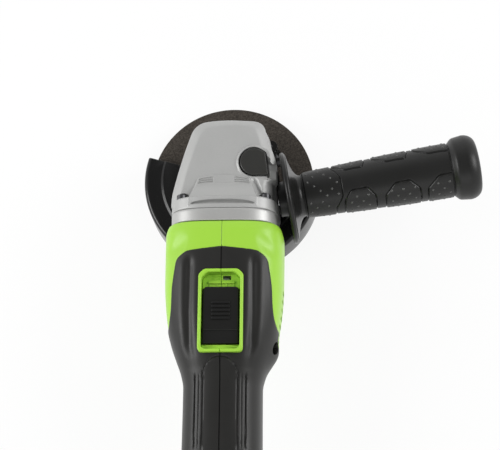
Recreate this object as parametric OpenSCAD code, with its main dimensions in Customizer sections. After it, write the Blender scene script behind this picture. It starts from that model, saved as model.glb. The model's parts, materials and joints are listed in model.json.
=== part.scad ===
// Cordless angle grinder, 115 mm wheel.
// +Z is up, +Y is the nose, +X is the side with the auxiliary handle.
// The origin is the centre of the spindle's end face: the spindle axis is Z and the motor axis is
// parallel to Y at height motor_z.

/* [Wheel] */
// Outer diameter of the grinding wheel
wheel_d = 115; // [100:1:125]
// Thickness of the grinding wheel
wheel_t = 6; // [2.5:0.5:8]
// Bore of the wheel, which seats on the inner flange
wheel_bore = 22.2; // [20:0.1:22.3]
// Diameter of the wheel's raised centre
hub_d = 50; // [46:1:58]
// Height of the wheel's raised centre above its rim
hub_rise = 4.6; // [3:0.2:6]

/* [Spindle] */
// Thread diameter of the spindle's nose
spindle_d = 14; // [12:0.5:16]
// Length of the thread that stands out below the lock nut
tip_len = 3.5; // [2:0.5:8]
// Thickness of the lock nut
nut_t = 5.5; // [4:0.5:8]
// Diameter of the lock nut and of the inner flange
nut_d = 42; // [41:1:44]
// Distance between the two pin holes in the lock nut
pin_hole_pitch = 35; // [30:1:35]
// Diameter of the pin holes in the lock nut
pin_hole_d = 5.2; // [4:0.2:5.6]
// Height of the inner flange
flange_t = 7; // [5:0.5:9]

/* [Guard] */
// Clearance between the wheel's rim and the guard's outer wall
guard_gap = 4; // [3:0.5:8]
// Sheet thickness of the guard
guard_t = 1.6; // [1:0.1:2.5]
// Depth of the guard's skirt
guard_depth = 24; // [16:1:28]
// Angle that the guard covers
guard_span = 190; // [150:5:220]
// Direction in which the covered angle starts, from +X
guard_start = 163.5; // [140:0.5:180]
// Diameter of the bearing cap's collar, which the guard clamps on
collar_d = 42; // [41:0.5:46]
// Angle from the end of the guard to its clamp
clamp_lead = 31.5; // [25:0.5:45]

/* [Gear head] */
// Height of the motor axis above the spindle's end
motor_z = 60; // [58:0.5:64]
// Height of the top of the gear head
head_top = 82; // [81:0.5:86]
// Height of the gear head's lower face
head_floor = 36; // [35:0.5:38]
// Thickness of the gear head's rear flange
head_flange_t = 8.5; // [6:0.5:12]
// Thickness of the bearing plate between the gear head and the housing
plate_t = 8.5; // [6:0.5:12]
// Half width of the rear flange
head_half_w = 35.8; // [34:0.2:38]
// Half height of the rear flange
head_half_h = 31; // [29:0.2:33]

/* [Gears] */
// Teeth of the crown gear
crown_teeth = 34; // [34:1:34]
// Teeth of the pinion
pinion_teeth = 11; // [11:1:11]
// Outer radius of the crown gear
crown_r = 22.2; // [22:0.1:22.6]
// Inner radius of the crown gear's toothed ring
crown_in = 17.2; // [17.1:0.1:17.5]
// Turn of the crown gear's spiral teeth, in degrees for each millimetre of cone distance
tooth_spiral = 1.5; // [0:0.1:2]

/* [Lock button] */
// Radius of the spindle lock button's round side
lock_r = 10.3; // [9:0.1:11]
// Travel of the spindle lock button
lock_travel = 4.5; // [3:0.5:5]
// Diameter of the lock pin
lock_pin_d = 4.4; // [4:0.1:4.6]

/* [Housing] */
// Wall thickness of the motor housing
wall = 2.8; // [2.6:0.1:3]
// Depth that the soft grip layer is let into the housing
grip_in = 1.6; // [1:0.1:1.8]
// Height that the soft grip layer stands proud of the housing
grip_out = 0.5; // [0.3:0.1:1]
// Length of the housing behind the bearing plate
housing_len = 186; // [180:1:195]
// Distance of the switch window's frame behind the spindle axis
window_y = 83.7; // [82:0.1:86]
// Width of the switch window's frame, outside
window_w = 29.4; // [28:0.2:32]
// Length of the switch window's frame, outside
window_l = 56; // [54:1:60]
// Width of the rim around the switch window
window_rim = 2.5; // [2:0.1:3]
// Number of air slots in each side
vent_count = 7; // [4:1:8]
// Distance between air slots
vent_pitch = 5.6; // [5:0.1:6]

/* [Switch] */
// Length of the switch slider's button
slider_l = 37.6; // [34:0.2:39]
// Travel of the switch slider
slider_travel = 7; // [4:0.5:8]
// Number of grip ribs on the slider
slider_ribs = 5; // [3:1:7]

/* [Side handle] */
// Direction of the side handle, forward of +X
handle_angle = 9.7; // [0:0.1:12]
// Height of the side handle's axis
handle_z = 58; // [57.5:0.5:60]
// Radius of the hand guard disc
handle_disc_r = 31.3; // [26:0.1:33]
// Grip radius next to the hand guard disc
grip_r0 = 14.6; // [13:0.1:16]
// Grip radius at its outer end
grip_r1 = 17.8; // [16:0.1:20]
// Radius of the grip's end bulb
bulb_r = 21.9; // [20:0.1:25]
// Length of the side handle from its seat
handle_len = 138; // [125:1:145]
// Diameter of the handle's stud thread
stud_d = 8; // [7:0.5:9]
// Depth of the threaded handle holes
stud_depth = 10; // [9:0.5:10]

/* [Battery] */
// Length of the battery pack's body
pack_l = 46; // [40:1:60]
// Half width of the battery pack's body
pack_half_w = 38; // [36:0.5:40]
// Length of the battery pack's stem
stem_l = 48; // [40:1:49]

/* [Hidden] */

// Running clearance of a shaft in its bore, on the radius.
run_gap = 0.05;
// Clearance of parts that are fitted by hand, on each side.
fit_gap = 0.2;
// Gap to a moving neighbour.
move_gap = 0.4;
// Overshoot of cutting tools past the face that they open.
cut = 1;

// Radius of the spindle inside the nut and the flange, at the foot of the thread.
thread_r = spindle_d / 2 - 0.4;

// Heights along the spindle, from its end face up.
nut_z = tip_len;
wheel_z = nut_z + nut_t;
flange_z = wheel_z + wheel_t;
shoulder_z = flange_z + flange_t;
guard_z = shoulder_z + move_gap;
collar_z = shoulder_z + 1;
spindle_bearing_z = head_floor - 4;
gear_seat_z = spindle_bearing_z + 10;
gear_web_z = gear_seat_z + 3;
gear_web_t = 5;

// Outer radius of the guard.
guard_r = wheel_d / 2 + guard_gap;

// The guard's band and its clamp: band height, and where the bolt and the lever's pin lie.
band_h = 7.6;
bolt_r = 35;
bolt_z = guard_z + 3.9;
lever_y = 8.2;
// Direction of the guard's clamp, from +X.
clamp_angle = guard_start + guard_span + clamp_lead - 360;

// Places along the motor axis, as distances behind the spindle axis.
head_flange_y = 33;
plate_y = head_flange_y + head_flange_t;
housing_y = plate_y + plate_t;
front_bearing_y = 32;
rear_bearing_y = 128;
can_y = 66;
can_len = 44;
can_r = 22.6;
tail_y = housing_y + housing_len;

// The pack's stem and end, the terminals in front of the stem, and the power switch in front of them.
stem_front = tail_y - stem_l;
pack_end = tail_y + pack_l;
terminal_y = stem_front - 9;
switch_y = terminal_y - 27;
// Left edges of the terminal blades.
BLADES_X = [-10, -4, 3, 9];
// Front of the switch slider's button, with room for its travel inside the window.
slider_y = window_y + window_rim + slider_travel + 2.2;

// Pitch cone of the crown gear, which has the pinion's cone as its complement.
crown_cone = atan(crown_teeth / pinion_teeth);
pinion_cone = 90 - crown_cone;

// Cone distances of the teeth's inner end, outer end and middle.
gear_in = 18.5;
gear_out = 23.3;
gear_mid = (gear_in + gear_out) / 2;

// The housing's sections: distance behind the spindle axis, half width, top, bottom, squareness.
BODY = [
    [housing_y, 37.6, 90.6, 29.6, 3.5],
    [57, 39.3, 91.8, 28.6, 3.4],
    [88, 39.2, 92.0, 28.6, 3.3],
    [104, 38.3, 92.0, 29.0, 3.2],
    [121, 36.0, 91.4, 30.6, 3.0],
    [131, 33.4, 90.8, 32.6, 2.8],
    [140, 30.2, 89.8, 34.8, 2.7],
    [149, 27.0, 87.8, 36.8, 2.6],
    [158, 25.4, 86.6, 37.8, 2.6],
    [203, 25.6, 86.4, 37.6, 2.8],
    [214, 29.0, 88.6, 33.0, 3.2],
    [225, 34.8, 92.6, 24.6, 3.9],
    [tail_y, 38.0, 96.0, 16.0, 4.6]
];
SECTION_POINTS = 32;

// A superellipse with half width w, half height h and power p.
function squircle(w, h, p, count = SECTION_POINTS) = [
    for (i = [0:count - 1])
        let (a = 360 * (i + 0.5) / count, c = cos(a), s = sin(a))
        [w * sign(c) * pow(abs(c), 2 / p), h * sign(s) * pow(abs(s), 2 / p)]
];

// Puts a child's Z axis on the motor axis, pointing to the rear, d behind the spindle axis.
module on_motor_axis(d = 0) {
    translate([0, -d, motor_z]) rotate([90, 0, 0]) children();
}

// Puts a child's Z axis on the side handle's axis, pointing outwards from its seat.
module on_handle_axis(side = 1) {
    mirror([side < 0 ? 1 : 0, 0, 0])
        translate([35.2, -26.4, handle_z]) rotate([0, 90, handle_angle]) children();
}

// Puts a child's X axis on the guard clamp's radius.
module at_clamp() {
    rotate([0, 0, clamp_angle]) children();
}

module ring(r_out, r_in, h) {
    difference() {
        cylinder(r = r_out, h = h, $fn = 96);
        translate([0, 0, -cut]) cylinder(r = r_in, h = h + 2 * cut, $fn = 96);
    }
}

module box(low, high) {
    translate(low) cube(high - low);
}

module screw(head_r, head_h, r, length) {
    difference() {
        union() {
            cylinder(r = head_r, h = head_h, $fn = 48);
            translate([0, 0, head_h]) cylinder(r = r, h = length, $fn = 32);
        }
        translate([0, 0, -0.1]) cylinder(r = head_r * 0.5, h = head_h * 0.6, $fn = 6);
    }
}

// Half of the race section of a ball bearing, cut by the balls' track.
module race(r_out, r_in, width, track_r, ball_r) {
    rotate_extrude($fn = 96) difference() {
        translate([r_in, 0]) square([r_out - r_in, width]);
        translate([track_r, width / 2]) circle(r = ball_r + 0.08, $fn = 48);
    }
}

module bearing_outer(od, id, width) {
    race_t = (od - id) * 0.15;
    color("silver") race(od / 2, od / 2 - race_t, width, (od + id) / 4, (od - id) * 0.15);
}

module bearing_inner(od, id, width, balls) {
    race_t = (od - id) * 0.12;
    color("silver") {
        race(id / 2 + race_t, id / 2, width, (od + id) / 4, (od - id) * 0.15);
        for (i = [0:balls - 1])
            rotate([0, 0, 360 * i / balls])
                translate([(od + id) / 4, 0, width / 2]) sphere(r = (od - id) * 0.15, $fn = 32);
    }
}

// ---------------------------------------------------------------- gear head

// The gear head's plan outline at one height, as short posts to be wrapped by hull(). The front posts
// and the rear posts grow on their own, and ahead moves the nose forward.
module head_posts(z, front, rear, ahead = 0) {
    spots = [[12.5, 12 + ahead, 10 + front], [18.5, ahead / 2 - 2, 9 + front / 2],
             [27.2, -28, 8.1 + rear], [28.5, -head_flange_y, 7 + rear]];
    for (s = spots, side = [-1, 1])
        translate([side * s[0], s[1], z]) cylinder(r = s[2], h = 0.5, $fn = 40);
}

// How far the nose's upper edge runs ahead of its front posts.
nose_ahead = 1.6;

module head_block() {
    hull() {
        head_posts(head_floor, 1.6, -1.2, 4);
        head_posts(head_floor + 8, 1.6, -0.8, 4);
        head_posts(head_top - 12, 0.2, 0, nose_ahead + 0.8);
        head_posts(head_top - 3.5, 0, 0, nose_ahead);
        head_posts(head_top - 0.5, -3.5, -3.5, nose_ahead);
    }
}

// The shoulder beside the lock button, on the side of the auxiliary handle.
module head_shoulder() {
    hull() for (s = [[21, 8.5, 7], [26.2, -5, 7]]) {
        translate([s[0], s[1], head_floor + 10])
            cylinder(r = s[2], h = head_top - head_floor - 14, $fn = 40);
        translate([s[0], s[1], head_top - 3]) cylinder(r = s[2] - 3, h = 2, $fn = 40);
    }
}

// The raised hood that climbs from the head's top to its rear flange.
module head_hood() {
    hull() {
        for (side = [-1, 1]) {
            translate([side * 17, -20, head_top - 4]) cylinder(r = 3, h = 4, $fn = 32);
            translate([side * 22, -head_flange_y, head_top - 4]) cylinder(r = 3, h = 6, $fn = 32);
        }
    }
}

module flange_outline(h) {
    linear_extrude(height = h) polygon(squircle(head_half_w, head_half_h, 3.4, 64));
}

// Places of the four screws that hold the gear head, seen along the motor axis.
FLANGE_SCREWS = [[28, 21.5], [-28, 21.5], [28, -21.5], [-28, -21.5]];
// Places of the four screws that hold the bearing cap, seen along the spindle.
CAP_SCREWS = [[18.7, 18.7], [-18.7, 18.7], [18.7, -18.7], [-18.7, -18.7]];
// Centre of the spindle lock button.
LOCK_AT = [20, -7.4];
// Where the lock pin goes down into the crown gear.
PIN_AT = [13.5, -5];

// Underside of the button's cap, and floor of the pocket that it is pressed into.
lock_cap_z = head_top - 5;
lock_floor = lock_cap_z - lock_travel - 0.5;

// The lock button's plan shape: a circle cut by the line of the head's side.
module lock_plan(grow) {
    intersection() {
        translate(LOCK_AT) circle(r = lock_r + grow, $fn = 64);
        translate([27.9 + grow, -8]) rotate([0, 0, 9.9]) translate([-40, -40]) square([40, 80]);
    }
}

module gear_case() {
    color([0.68, 0.68, 0.67]) difference() {
        union() {
            head_block();
            head_shoulder();
            head_hood();
            on_motor_axis(head_flange_y) flange_outline(head_flange_t);
            for (side = [-1, 1])
                on_handle_axis(side) translate([0, 0, -7]) cylinder(r = 9.5, h = 7, $fn = 64);
        }
        // gear chamber and pinion chamber
        translate([0, 0, head_floor - cut]) cylinder(r = 24.2, h = 21 + cut, $fn = 96);
        translate([0, 0, head_floor + 18]) cylinder(r = 18.5, h = 12, $fn = 96);
        on_motor_axis(8) cylinder(r = 12, h = 24, $fn = 64);
        on_motor_axis(30.5) cylinder(r = 24, h = 20, $fn = 96);
        // spindle bush
        translate([0, 0, 60]) cylinder(r = 6, h = 17, $fn = 64);
        // lock button pocket and the guide of its stem
        translate([0, 0, lock_floor]) linear_extrude(height = 20) lock_plan(0.5);
        translate([PIN_AT[0], PIN_AT[1], 60]) cylinder(r = 3.2 + run_gap, h = 20, $fn = 48);
        // flange screws and their pockets
        for (p = FLANGE_SCREWS)
            translate([p[0], 0, motor_z + p[1]]) rotate([90, 0, 0]) {
                translate([0, 0, 20]) cylinder(r = 2.3, h = 30, $fn = 32);
                translate([0, 0, 21]) cylinder(r = 4.3, h = 15.5, $fn = 48);
            }
        // handle threads
        for (side = [-1, 1])
            on_handle_axis(side) translate([0, 0, -stud_depth])
                cylinder(r = stud_d / 2, h = stud_depth + cut, $fn = 64);
        // cap screws
        for (p = CAP_SCREWS)
            translate([p[0], p[1], head_floor - cut]) cylinder(r = 1.7, h = 11, $fn = 32);
    }
}

module bearing_plate() {
    color([0.74, 0.74, 0.75]) on_motor_axis(plate_y) difference() {
        union() {
            flange_outline(plate_t);
            // spigot into the gear head
            translate([0, 0, front_bearing_y - 1 - plate_y])
                cylinder(r = 23.8, h = plate_y - front_bearing_y + 1.5, $fn = 96);
            // spigot into the motor housing
            cylinder(r = 27.3, h = plate_t + 4, $fn = 96);
        }
        translate([0, 0, front_bearing_y - plate_y]) cylinder(r = 13, h = 30, $fn = 96);
        translate([0, 0, front_bearing_y - 3 - plate_y]) cylinder(r = 9, h = 10, $fn = 64);
        // the fan runs in this mouth
        translate([0, 0, plate_t - 5]) cylinder(r = 25.6, h = 12, $fn = 96);
        for (p = FLANGE_SCREWS)
            translate([p[0], p[1], -cut]) cylinder(r = 2.3, h = plate_t + 2 * cut, $fn = 32);
    }
}

module gear_case_screws() {
    color([0.25, 0.25, 0.26]) for (p = FLANGE_SCREWS)
        translate([p[0], -head_flange_y - 1, motor_z + p[1]]) rotate([90, 0, 0])
            screw(4, 2.5, 2.1, 18);
}

module bearing_cap() {
    color([0.66, 0.66, 0.66]) difference() {
        union() {
            hull() for (p = CAP_SCREWS)
                translate([p[0], p[1], spindle_bearing_z])
                    cylinder(r = 6, h = head_floor - spindle_bearing_z, $fn = 40);
            translate([0, 0, collar_z]) cylinder(d = collar_d, h = head_floor - collar_z, $fn = 96);
            translate([0, 0, head_floor - 1]) cylinder(r = 24, h = 7, $fn = 96);
        }
        translate([0, 0, spindle_bearing_z]) cylinder(r = 16, h = 30, $fn = 96);
        translate([0, 0, collar_z - cut]) cylinder(r = 9.4, h = 20, $fn = 64);
        for (p = CAP_SCREWS) {
            translate([p[0], p[1], 0]) cylinder(r = 1.7, h = 60, $fn = 32);
            translate([p[0], p[1], spindle_bearing_z - cut]) cylinder(r = 3.4, h = 2.3 + cut, $fn = 48);
        }
    }
}

module bearing_cap_screws() {
    color([0.3, 0.3, 0.3]) for (p = CAP_SCREWS)
        translate([p[0], p[1], spindle_bearing_z + 0.1]) screw(3.1, 2.2, 1.6, 10);
}

// ---------------------------------------------------------------- output spindle

module spindle_bush() {
    color("peru") translate([0, 0, 64]) ring(6, 4 + run_gap, 12);
}

module spindle_bearing_outer() {
    translate([0, 0, spindle_bearing_z]) bearing_outer(32, 12, 10);
}

module spindle_bearing_inner() {
    translate([0, 0, spindle_bearing_z]) bearing_inner(32, 12, 10, 8);
}

module spindle() {
    color([0.55, 0.55, 0.57]) union() {
        cylinder(d = spindle_d, h = tip_len, $fn = 96);
        cylinder(r = thread_r, h = shoulder_z, $fn = 96);
        translate([0, 0, shoulder_z]) cylinder(r = 9, h = spindle_bearing_z - shoulder_z, $fn = 96);
        cylinder(r = 6, h = gear_web_z + 12, $fn = 96);
        translate([0, 0, gear_web_z + 11]) cylinder(r = 4, h = 18, $fn = 64);
    }
}

// The corners of a bevel gear's teeth at one cone distance; the cone's tip is the origin and its
// axis is Z. Each tooth has its root corner, tip corner, tip corner and root corner.
function tooth_corners(teeth, distance, root, tip, root_a, tip_a, turn) = [
    for (i = [0:teeth - 1], p = [[root, -root_a], [tip, -tip_a], [tip, tip_a], [root, root_a]])
        let (a = turn + 360 * i / teeth + p[1])
        [distance * sin(p[0]) * cos(a), distance * sin(p[0]) * sin(a), distance * cos(p[0])]
];

// A plain ring with one corner for each corner of the teeth.
function tooth_base(teeth, ring_r, ring_z, root_a, tip_a, turn) = [
    for (i = [0:teeth - 1], p = [-root_a, -tip_a, tip_a, root_a])
        let (a = turn + 360 * i / teeth + p)
        [ring_r * cos(a), ring_r * sin(a), ring_z]
];

// A toothed ring. The teeth turn by spiral degrees for each millimetre of cone distance.
module bevel_teeth(teeth, root, tip, root_a, tip_a, turn, spiral, base_in, base_out) {
    stations = 3;
    corners = 4 * teeth;
    rings = concat(
        [tooth_base(teeth, base_in[0], base_in[1], root_a, tip_a, turn + spiral * (gear_in - gear_mid))],
        [for (k = [0:stations - 1])
            let (d = gear_in + (gear_out - gear_in) * k / (stations - 1))
            tooth_corners(teeth, d, root, tip, root_a, tip_a, turn + spiral * (d - gear_mid))],
        [tooth_base(teeth, base_out[0], base_out[1], root_a, tip_a, turn + spiral * (gear_out - gear_mid))]
    );
    count = len(rings);
    faces = [for (k = [0:count - 1], j = [0:corners - 1])
        let (n = (j + 1) % corners, m = (k + 1) % count)
        each [[k * corners + j, m * corners + n, k * corners + n],
              [k * corners + j, m * corners + j, m * corners + n]]];
    polyhedron([for (r = rings) each r], faces);
}

module crown_gear() {
    color([0.42, 0.42, 0.44]) difference() {
        union() {
            translate([0, 0, motor_z]) mirror([0, 0, 1])
                bevel_teeth(crown_teeth, crown_cone - 4.3, crown_cone + 2.3, 3.0, 1.3, -90, -tooth_spiral,
                            [crown_in, motor_z - gear_web_z - 4],
                            [crown_r - 0.4, motor_z - gear_web_z - 4]);
            translate([0, 0, gear_web_z]) cylinder(r = crown_r, h = gear_web_t, $fn = 96);
            translate([0, 0, gear_seat_z]) cylinder(r = 9, h = 4, $fn = 96);
        }
        translate([0, 0, gear_seat_z - cut]) cylinder(r = 6, h = 20, $fn = 96);
        for (i = [0:3])
            rotate([0, 0, 90 * i]) translate([PIN_AT[0], PIN_AT[1], gear_web_z - cut])
                cylinder(r = lock_pin_d / 2 + 0.4, h = 20, $fn = 32);
    }
}

module inner_flange() {
    color([0.5, 0.5, 0.5]) difference() {
        union() {
            translate([0, 0, flange_z]) cylinder(d = nut_d, h = 3, $fn = 96);
            translate([0, 0, flange_z + 3])
                cylinder(r1 = nut_d / 2, r2 = nut_d / 2 - 6, h = flange_t - 3, $fn = 96);
            translate([0, 0, flange_z - 3]) cylinder(d = wheel_bore - 0.2, h = 4, $fn = 96);
        }
        translate([0, 0, flange_z - 4]) cylinder(r = thread_r + run_gap, h = flange_t + 8, $fn = 96);
    }
}

module grinding_wheel() {
    slope = 3.5;
    rim_z = wheel_z - hub_rise;
    color([0.2, 0.19, 0.17]) rotate_extrude($fn = 128) polygon([
        [wheel_bore / 2, wheel_z], [hub_d / 2 - 2, wheel_z],
        [hub_d / 2 - 2 + slope, rim_z], [wheel_d / 2 - 0.4, rim_z],
        [wheel_d / 2, rim_z + 0.4], [wheel_d / 2, rim_z + wheel_t - 0.4],
        [wheel_d / 2 - 0.4, rim_z + wheel_t], [hub_d / 2 + slope, rim_z + wheel_t],
        [hub_d / 2, wheel_z + wheel_t], [wheel_bore / 2, wheel_z + wheel_t]
    ]);
}

module lock_nut() {
    color([0.28, 0.28, 0.3]) difference() {
        union() {
            translate([0, 0, nut_z]) cylinder(d = nut_d, h = nut_t, $fn = 96);
            translate([0, 0, wheel_z - 0.5]) cylinder(d = wheel_bore - 0.2, h = 3, $fn = 96);
        }
        translate([0, 0, nut_z - cut]) cylinder(r = thread_r + run_gap, h = 20, $fn = 96);
        for (side = [-1, 1])
            translate([side * pin_hole_pitch / 2, 0, nut_z - cut])
                cylinder(d = pin_hole_d, h = nut_t + 2 * cut, $fn = 48);
    }
}

// ---------------------------------------------------------------- guard

module guard_shell() {
    bend = 3;
    top = guard_z + guard_t;
    bottom = top - guard_depth - guard_t;
    lip = 3;
    // The bend between plate and skirt, at radius r, from the plate (90) to the skirt (0) or back.
    function bend_arc(r, from) = [for (i = [0:6])
        let (a = abs(from - 15 * i))
        [guard_r - bend + r * cos(a), top - bend + r * sin(a)]];
    color([0.09, 0.09, 0.09]) rotate([0, 0, guard_start])
        rotate_extrude(angle = guard_span, $fn = 180)
            polygon(concat(
                [[24.6, guard_z], [24.6, top], [32, top], [33.5, top + 1.2], [48, top + 1.2], [49.5, top]],
                bend_arc(bend, 90),
                [[guard_r, bottom], [guard_r - lip, bottom], [guard_r - lip, bottom + guard_t],
                 [guard_r - guard_t, bottom + guard_t]],
                bend_arc(bend - guard_t, 0),
                [[49.5, guard_z], [48, guard_z + 1.2], [33.5, guard_z + 1.2], [32, guard_z]]
            ));
}

module guard_band() {
    r_in = collar_d / 2 + 0.15;
    ear_r = 39;
    color([0.12, 0.12, 0.12]) difference() {
        union() {
            translate([0, 0, guard_z]) cylinder(r = r_in + 1.8, h = band_h, $fn = 96);
            translate([0, 0, guard_z]) cylinder(r = 24.6, h = guard_t, $fn = 96);
            at_clamp() box([r_in + 0.8, -3.5, guard_z + 0.3], [ear_r, 3.5, guard_z + band_h - 0.4]);
        }
        translate([0, 0, guard_z - cut]) cylinder(r = r_in, h = 20, $fn = 96);
        at_clamp() box([r_in - 4, -1.5, guard_z - cut], [ear_r + cut, 1.5, guard_z + 10]);
        at_clamp() translate([bolt_r, 10, bolt_z]) rotate([90, 0, 0]) cylinder(r = 1.9, h = 20, $fn = 32);
    }
}

module guard_clamp_bolt() {
    color([0.3, 0.3, 0.3]) at_clamp() translate([bolt_r, 0, bolt_z]) rotate([90, 0, 0]) difference() {
        union() {
            translate([0, 0, -10.2]) cylinder(r = 1.8, h = 13.7, $fn = 32);
            translate([0, 0, 3.5]) cylinder(r = 3.2, h = 2.8, $fn = 6);
        }
        translate([0, 5, -lever_y]) rotate([90, 0, 0]) cylinder(r = 1.1, h = 10, $fn = 24);
    }
}

module guard_clamp_pin() {
    color("silver") at_clamp() translate([bolt_r, lever_y, guard_z + 0.5])
        cylinder(r = 1.1, h = 6.8, $fn = 24);
}

// Cam lever: a forked cam on the upright pin, with an arm that curves round the nose.
module guard_lever() {
    color([0.1, 0.1, 0.1]) at_clamp() difference() {
        union() {
            translate([bolt_r, lever_y, guard_z + 0.5]) cylinder(r = 4.2, h = 6.8, $fn = 48);
            intersection() {
                translate([0, 0, guard_z + 0.5]) ring(38.2, 34, 6.8);
                linear_extrude(height = 60) polygon([[0, 0], [60, 17], [60, 60], [20, 60]]);
            }
        }
        translate([bolt_r, lever_y, 0]) {
            cylinder(r = 1.1 + run_gap, h = 60, $fn = 32);
            translate([0, 0, guard_z + 1.8]) {
                cylinder(r = 2.8, h = 4.2, $fn = 48);
                box([-7, -7, 0], [0, 0, 4.2]);
                box([-0.1, -7, 0], [9, 2.3, 4.2]);
            }
        }
    }
}

// ---------------------------------------------------------------- spindle lock

module lock_button() {
    color([0.13, 0.13, 0.13]) difference() {
        union() {
            translate([0, 0, lock_cap_z]) linear_extrude(height = 7) lock_plan(0);
            translate([PIN_AT[0], PIN_AT[1], 68]) cylinder(r = 3.2, h = lock_cap_z - 68 + 1, $fn = 48);
        }
        translate([PIN_AT[0], PIN_AT[1], 60]) cylinder(d = lock_pin_d, h = 18, $fn = 32);
    }
}

module lock_pin() {
    tip = gear_web_z + gear_web_t + 0.8;
    color("silver") translate([PIN_AT[0], PIN_AT[1], tip]) cylinder(d = lock_pin_d, h = 78 - tip, $fn = 32);
}

// Coil spring under the button's cap: a loop of stacked turns.
module lock_spring() {
    turns = 3;
    steps = 10;
    wire = 0.4;
    coil_r = 4.6;
    low = lock_floor + wire + 0.05;
    high = lock_cap_z - wire - 0.05;
    count = turns * steps;
    function along(i) = let (a = 360 * i / steps)
        [coil_r * cos(a), coil_r * sin(a), low + (high - low) * i / count];
    function wire_ring(i) = [for (k = [0:5])
        let (p = along(i), a = 360 * i / steps, b = 60 * k)
        [p[0] + wire * cos(b) * cos(a), p[1] + wire * cos(b) * sin(a), p[2] + wire * sin(b)]];
    points = [for (i = [0:count]) each wire_ring(i)];
    sides = [for (i = [0:count - 1], k = [0:5])
        [6 * i + k, 6 * i + (k + 1) % 6, 6 * i + 6 + (k + 1) % 6, 6 * i + 6 + k]];
    ends = [[5, 4, 3, 2, 1, 0], [for (k = [0:5]) 6 * count + k]];
    color("gainsboro") translate([LOCK_AT[0] + 1.6, LOCK_AT[1] - 1, 0])
        polyhedron(points, concat(sides, ends));
}

// ---------------------------------------------------------------- motor

module armature_shaft() {
    color([0.6, 0.6, 0.62]) union() {
        on_motor_axis(17) cylinder(r = 3.2, h = 16, $fn = 64);
        on_motor_axis(front_bearing_y) cylinder(r = 5, h = 87, $fn = 64);
        on_motor_axis(front_bearing_y + 80) cylinder(r = 4, h = 24.5, $fn = 64);
    }
}

module pinion() {
    hub_d = 22.3;
    color([0.45, 0.45, 0.47]) difference() {
        union() {
            on_motor_axis()
                bevel_teeth(pinion_teeth, pinion_cone - 2.6, pinion_cone + 3.6, 9.0, 3.4, 90,
                            -tooth_spiral * crown_teeth / pinion_teeth, [2.6, 17.5], [2.6, 23.8]);
            on_motor_axis(hub_d) cylinder(r = 5.5, h = front_bearing_y - hub_d, $fn = 64);
        }
        on_motor_axis(16) cylinder(r = 3.2, h = 20, $fn = 64);
    }
}

module cooling_fan() {
    hub_y = housing_y - 4;
    color([0.2, 0.2, 0.22]) on_motor_axis(hub_y) difference() {
        union() {
            cylinder(r = 24.6, h = 1.6, $fn = 96);
            cylinder(r = 8, h = 8, $fn = 64);
            for (i = [0:12])
                rotate([0, 0, 360 * i / 13]) translate([13, 0, 0]) rotate([0, 0, 28]) cube([12.4, 1.4, 8]);
        }
        translate([0, 0, -cut]) cylinder(r = 5, h = 20, $fn = 64);
    }
}

module armature_core() {
    color([0.5, 0.5, 0.52]) on_motor_axis(can_y + 6) difference() {
        cylinder(r = 18, h = 30, $fn = 96);
        translate([0, 0, -cut]) cylinder(r = 5, h = 40, $fn = 64);
        for (i = [0:11])
            rotate([0, 0, 30 * i]) {
                translate([9.5, -2.2, -cut]) cube([6.5, 4.4, 40]);
                translate([15, -0.9, -cut]) cube([5, 1.8, 40]);
            }
    }
}

module armature_windings() {
    color("sienna") {
        for (i = [0:11])
            on_motor_axis(can_y + 5) rotate([0, 0, 30 * i]) translate([9.7, -2, 0]) cube([6, 4, 32]);
        for (d = [can_y + 2, can_y + 36])
            on_motor_axis(d) rotate_extrude($fn = 64)
                polygon([[6.5, 0.8], [8, 0], [14.5, 0], [16.2, 1.2], [16.2, 3.8], [6.5, 3.8]]);
    }
}

module commutator() {
    color("darkgoldenrod") on_motor_axis(can_y + 40) difference() {
        cylinder(r = 9, h = 13, $fn = 96);
        translate([0, 0, -cut]) cylinder(r = 5, h = 20, $fn = 64);
        for (i = [0:11])
            rotate([0, 0, 30 * i]) translate([8, -0.3, 2]) cube([3, 0.6, 20]);
    }
}

module front_bearing_outer() {
    on_motor_axis(front_bearing_y) bearing_outer(26, 10, 8);
}

module front_bearing_inner() {
    on_motor_axis(front_bearing_y) bearing_inner(26, 10, 8, 7);
}

module rear_bearing_outer() {
    on_motor_axis(rear_bearing_y) bearing_outer(22, 8, 7);
}

module rear_bearing_inner() {
    on_motor_axis(rear_bearing_y) bearing_inner(22, 8, 7, 7);
}

module motor_can() {
    color([0.62, 0.62, 0.64]) on_motor_axis(can_y) {
        ring(can_r, can_r - 1.6, can_len);
        ring(can_r - 0.5, 17, 1.4);
    }
}

module motor_magnets() {
    color([0.3, 0.3, 0.32]) on_motor_axis(can_y + 4) difference() {
        ring(can_r - 1.6, can_r - 4, 34);
        for (a = [0, 90])
            rotate([0, 0, a]) translate([-30, -2.5, -cut]) cube([60, 5, 40]);
    }
}

// The motor's rear end: a ring with the brush openings, a spoked disc and the bearing's cup.
module brush_plate() {
    start = can_y + can_len;
    color([0.16, 0.16, 0.16]) difference() {
        union() {
            on_motor_axis(start) ring(can_r, can_r - 2, rear_bearing_y - start - 1);
            on_motor_axis(rear_bearing_y - 4) ring(can_r, 6, 3);
            on_motor_axis(rear_bearing_y - 2) ring(13, 11, 9);
            on_motor_axis(rear_bearing_y - 2) ring(12, 6, 1.9);
        }
        for (side = [-1, 1])
            box([side * 22 - 4, -start - 10.2, motor_z - 4.2],
                [side * 22 + 4, -start - 1.8, motor_z + 4.2]);
        for (a = [45:90:315])
            on_motor_axis(rear_bearing_y - 5) rotate([0, 0, a]) translate([17.2, 0, 0])
                cylinder(r = 2.8, h = 4.5, $fn = 32);
    }
}

module brush_holders() {
    start = can_y + can_len;
    color("goldenrod") for (side = [0, 1])
        mirror([side, 0, 0]) difference() {
            box([10.5, -start - 10, motor_z - 4], [can_r, -start - 2, motor_z + 4]);
            box([9, -start - 9, motor_z - 3], [can_r - 1, -start - 3, motor_z + 3]);
        }
}

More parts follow.
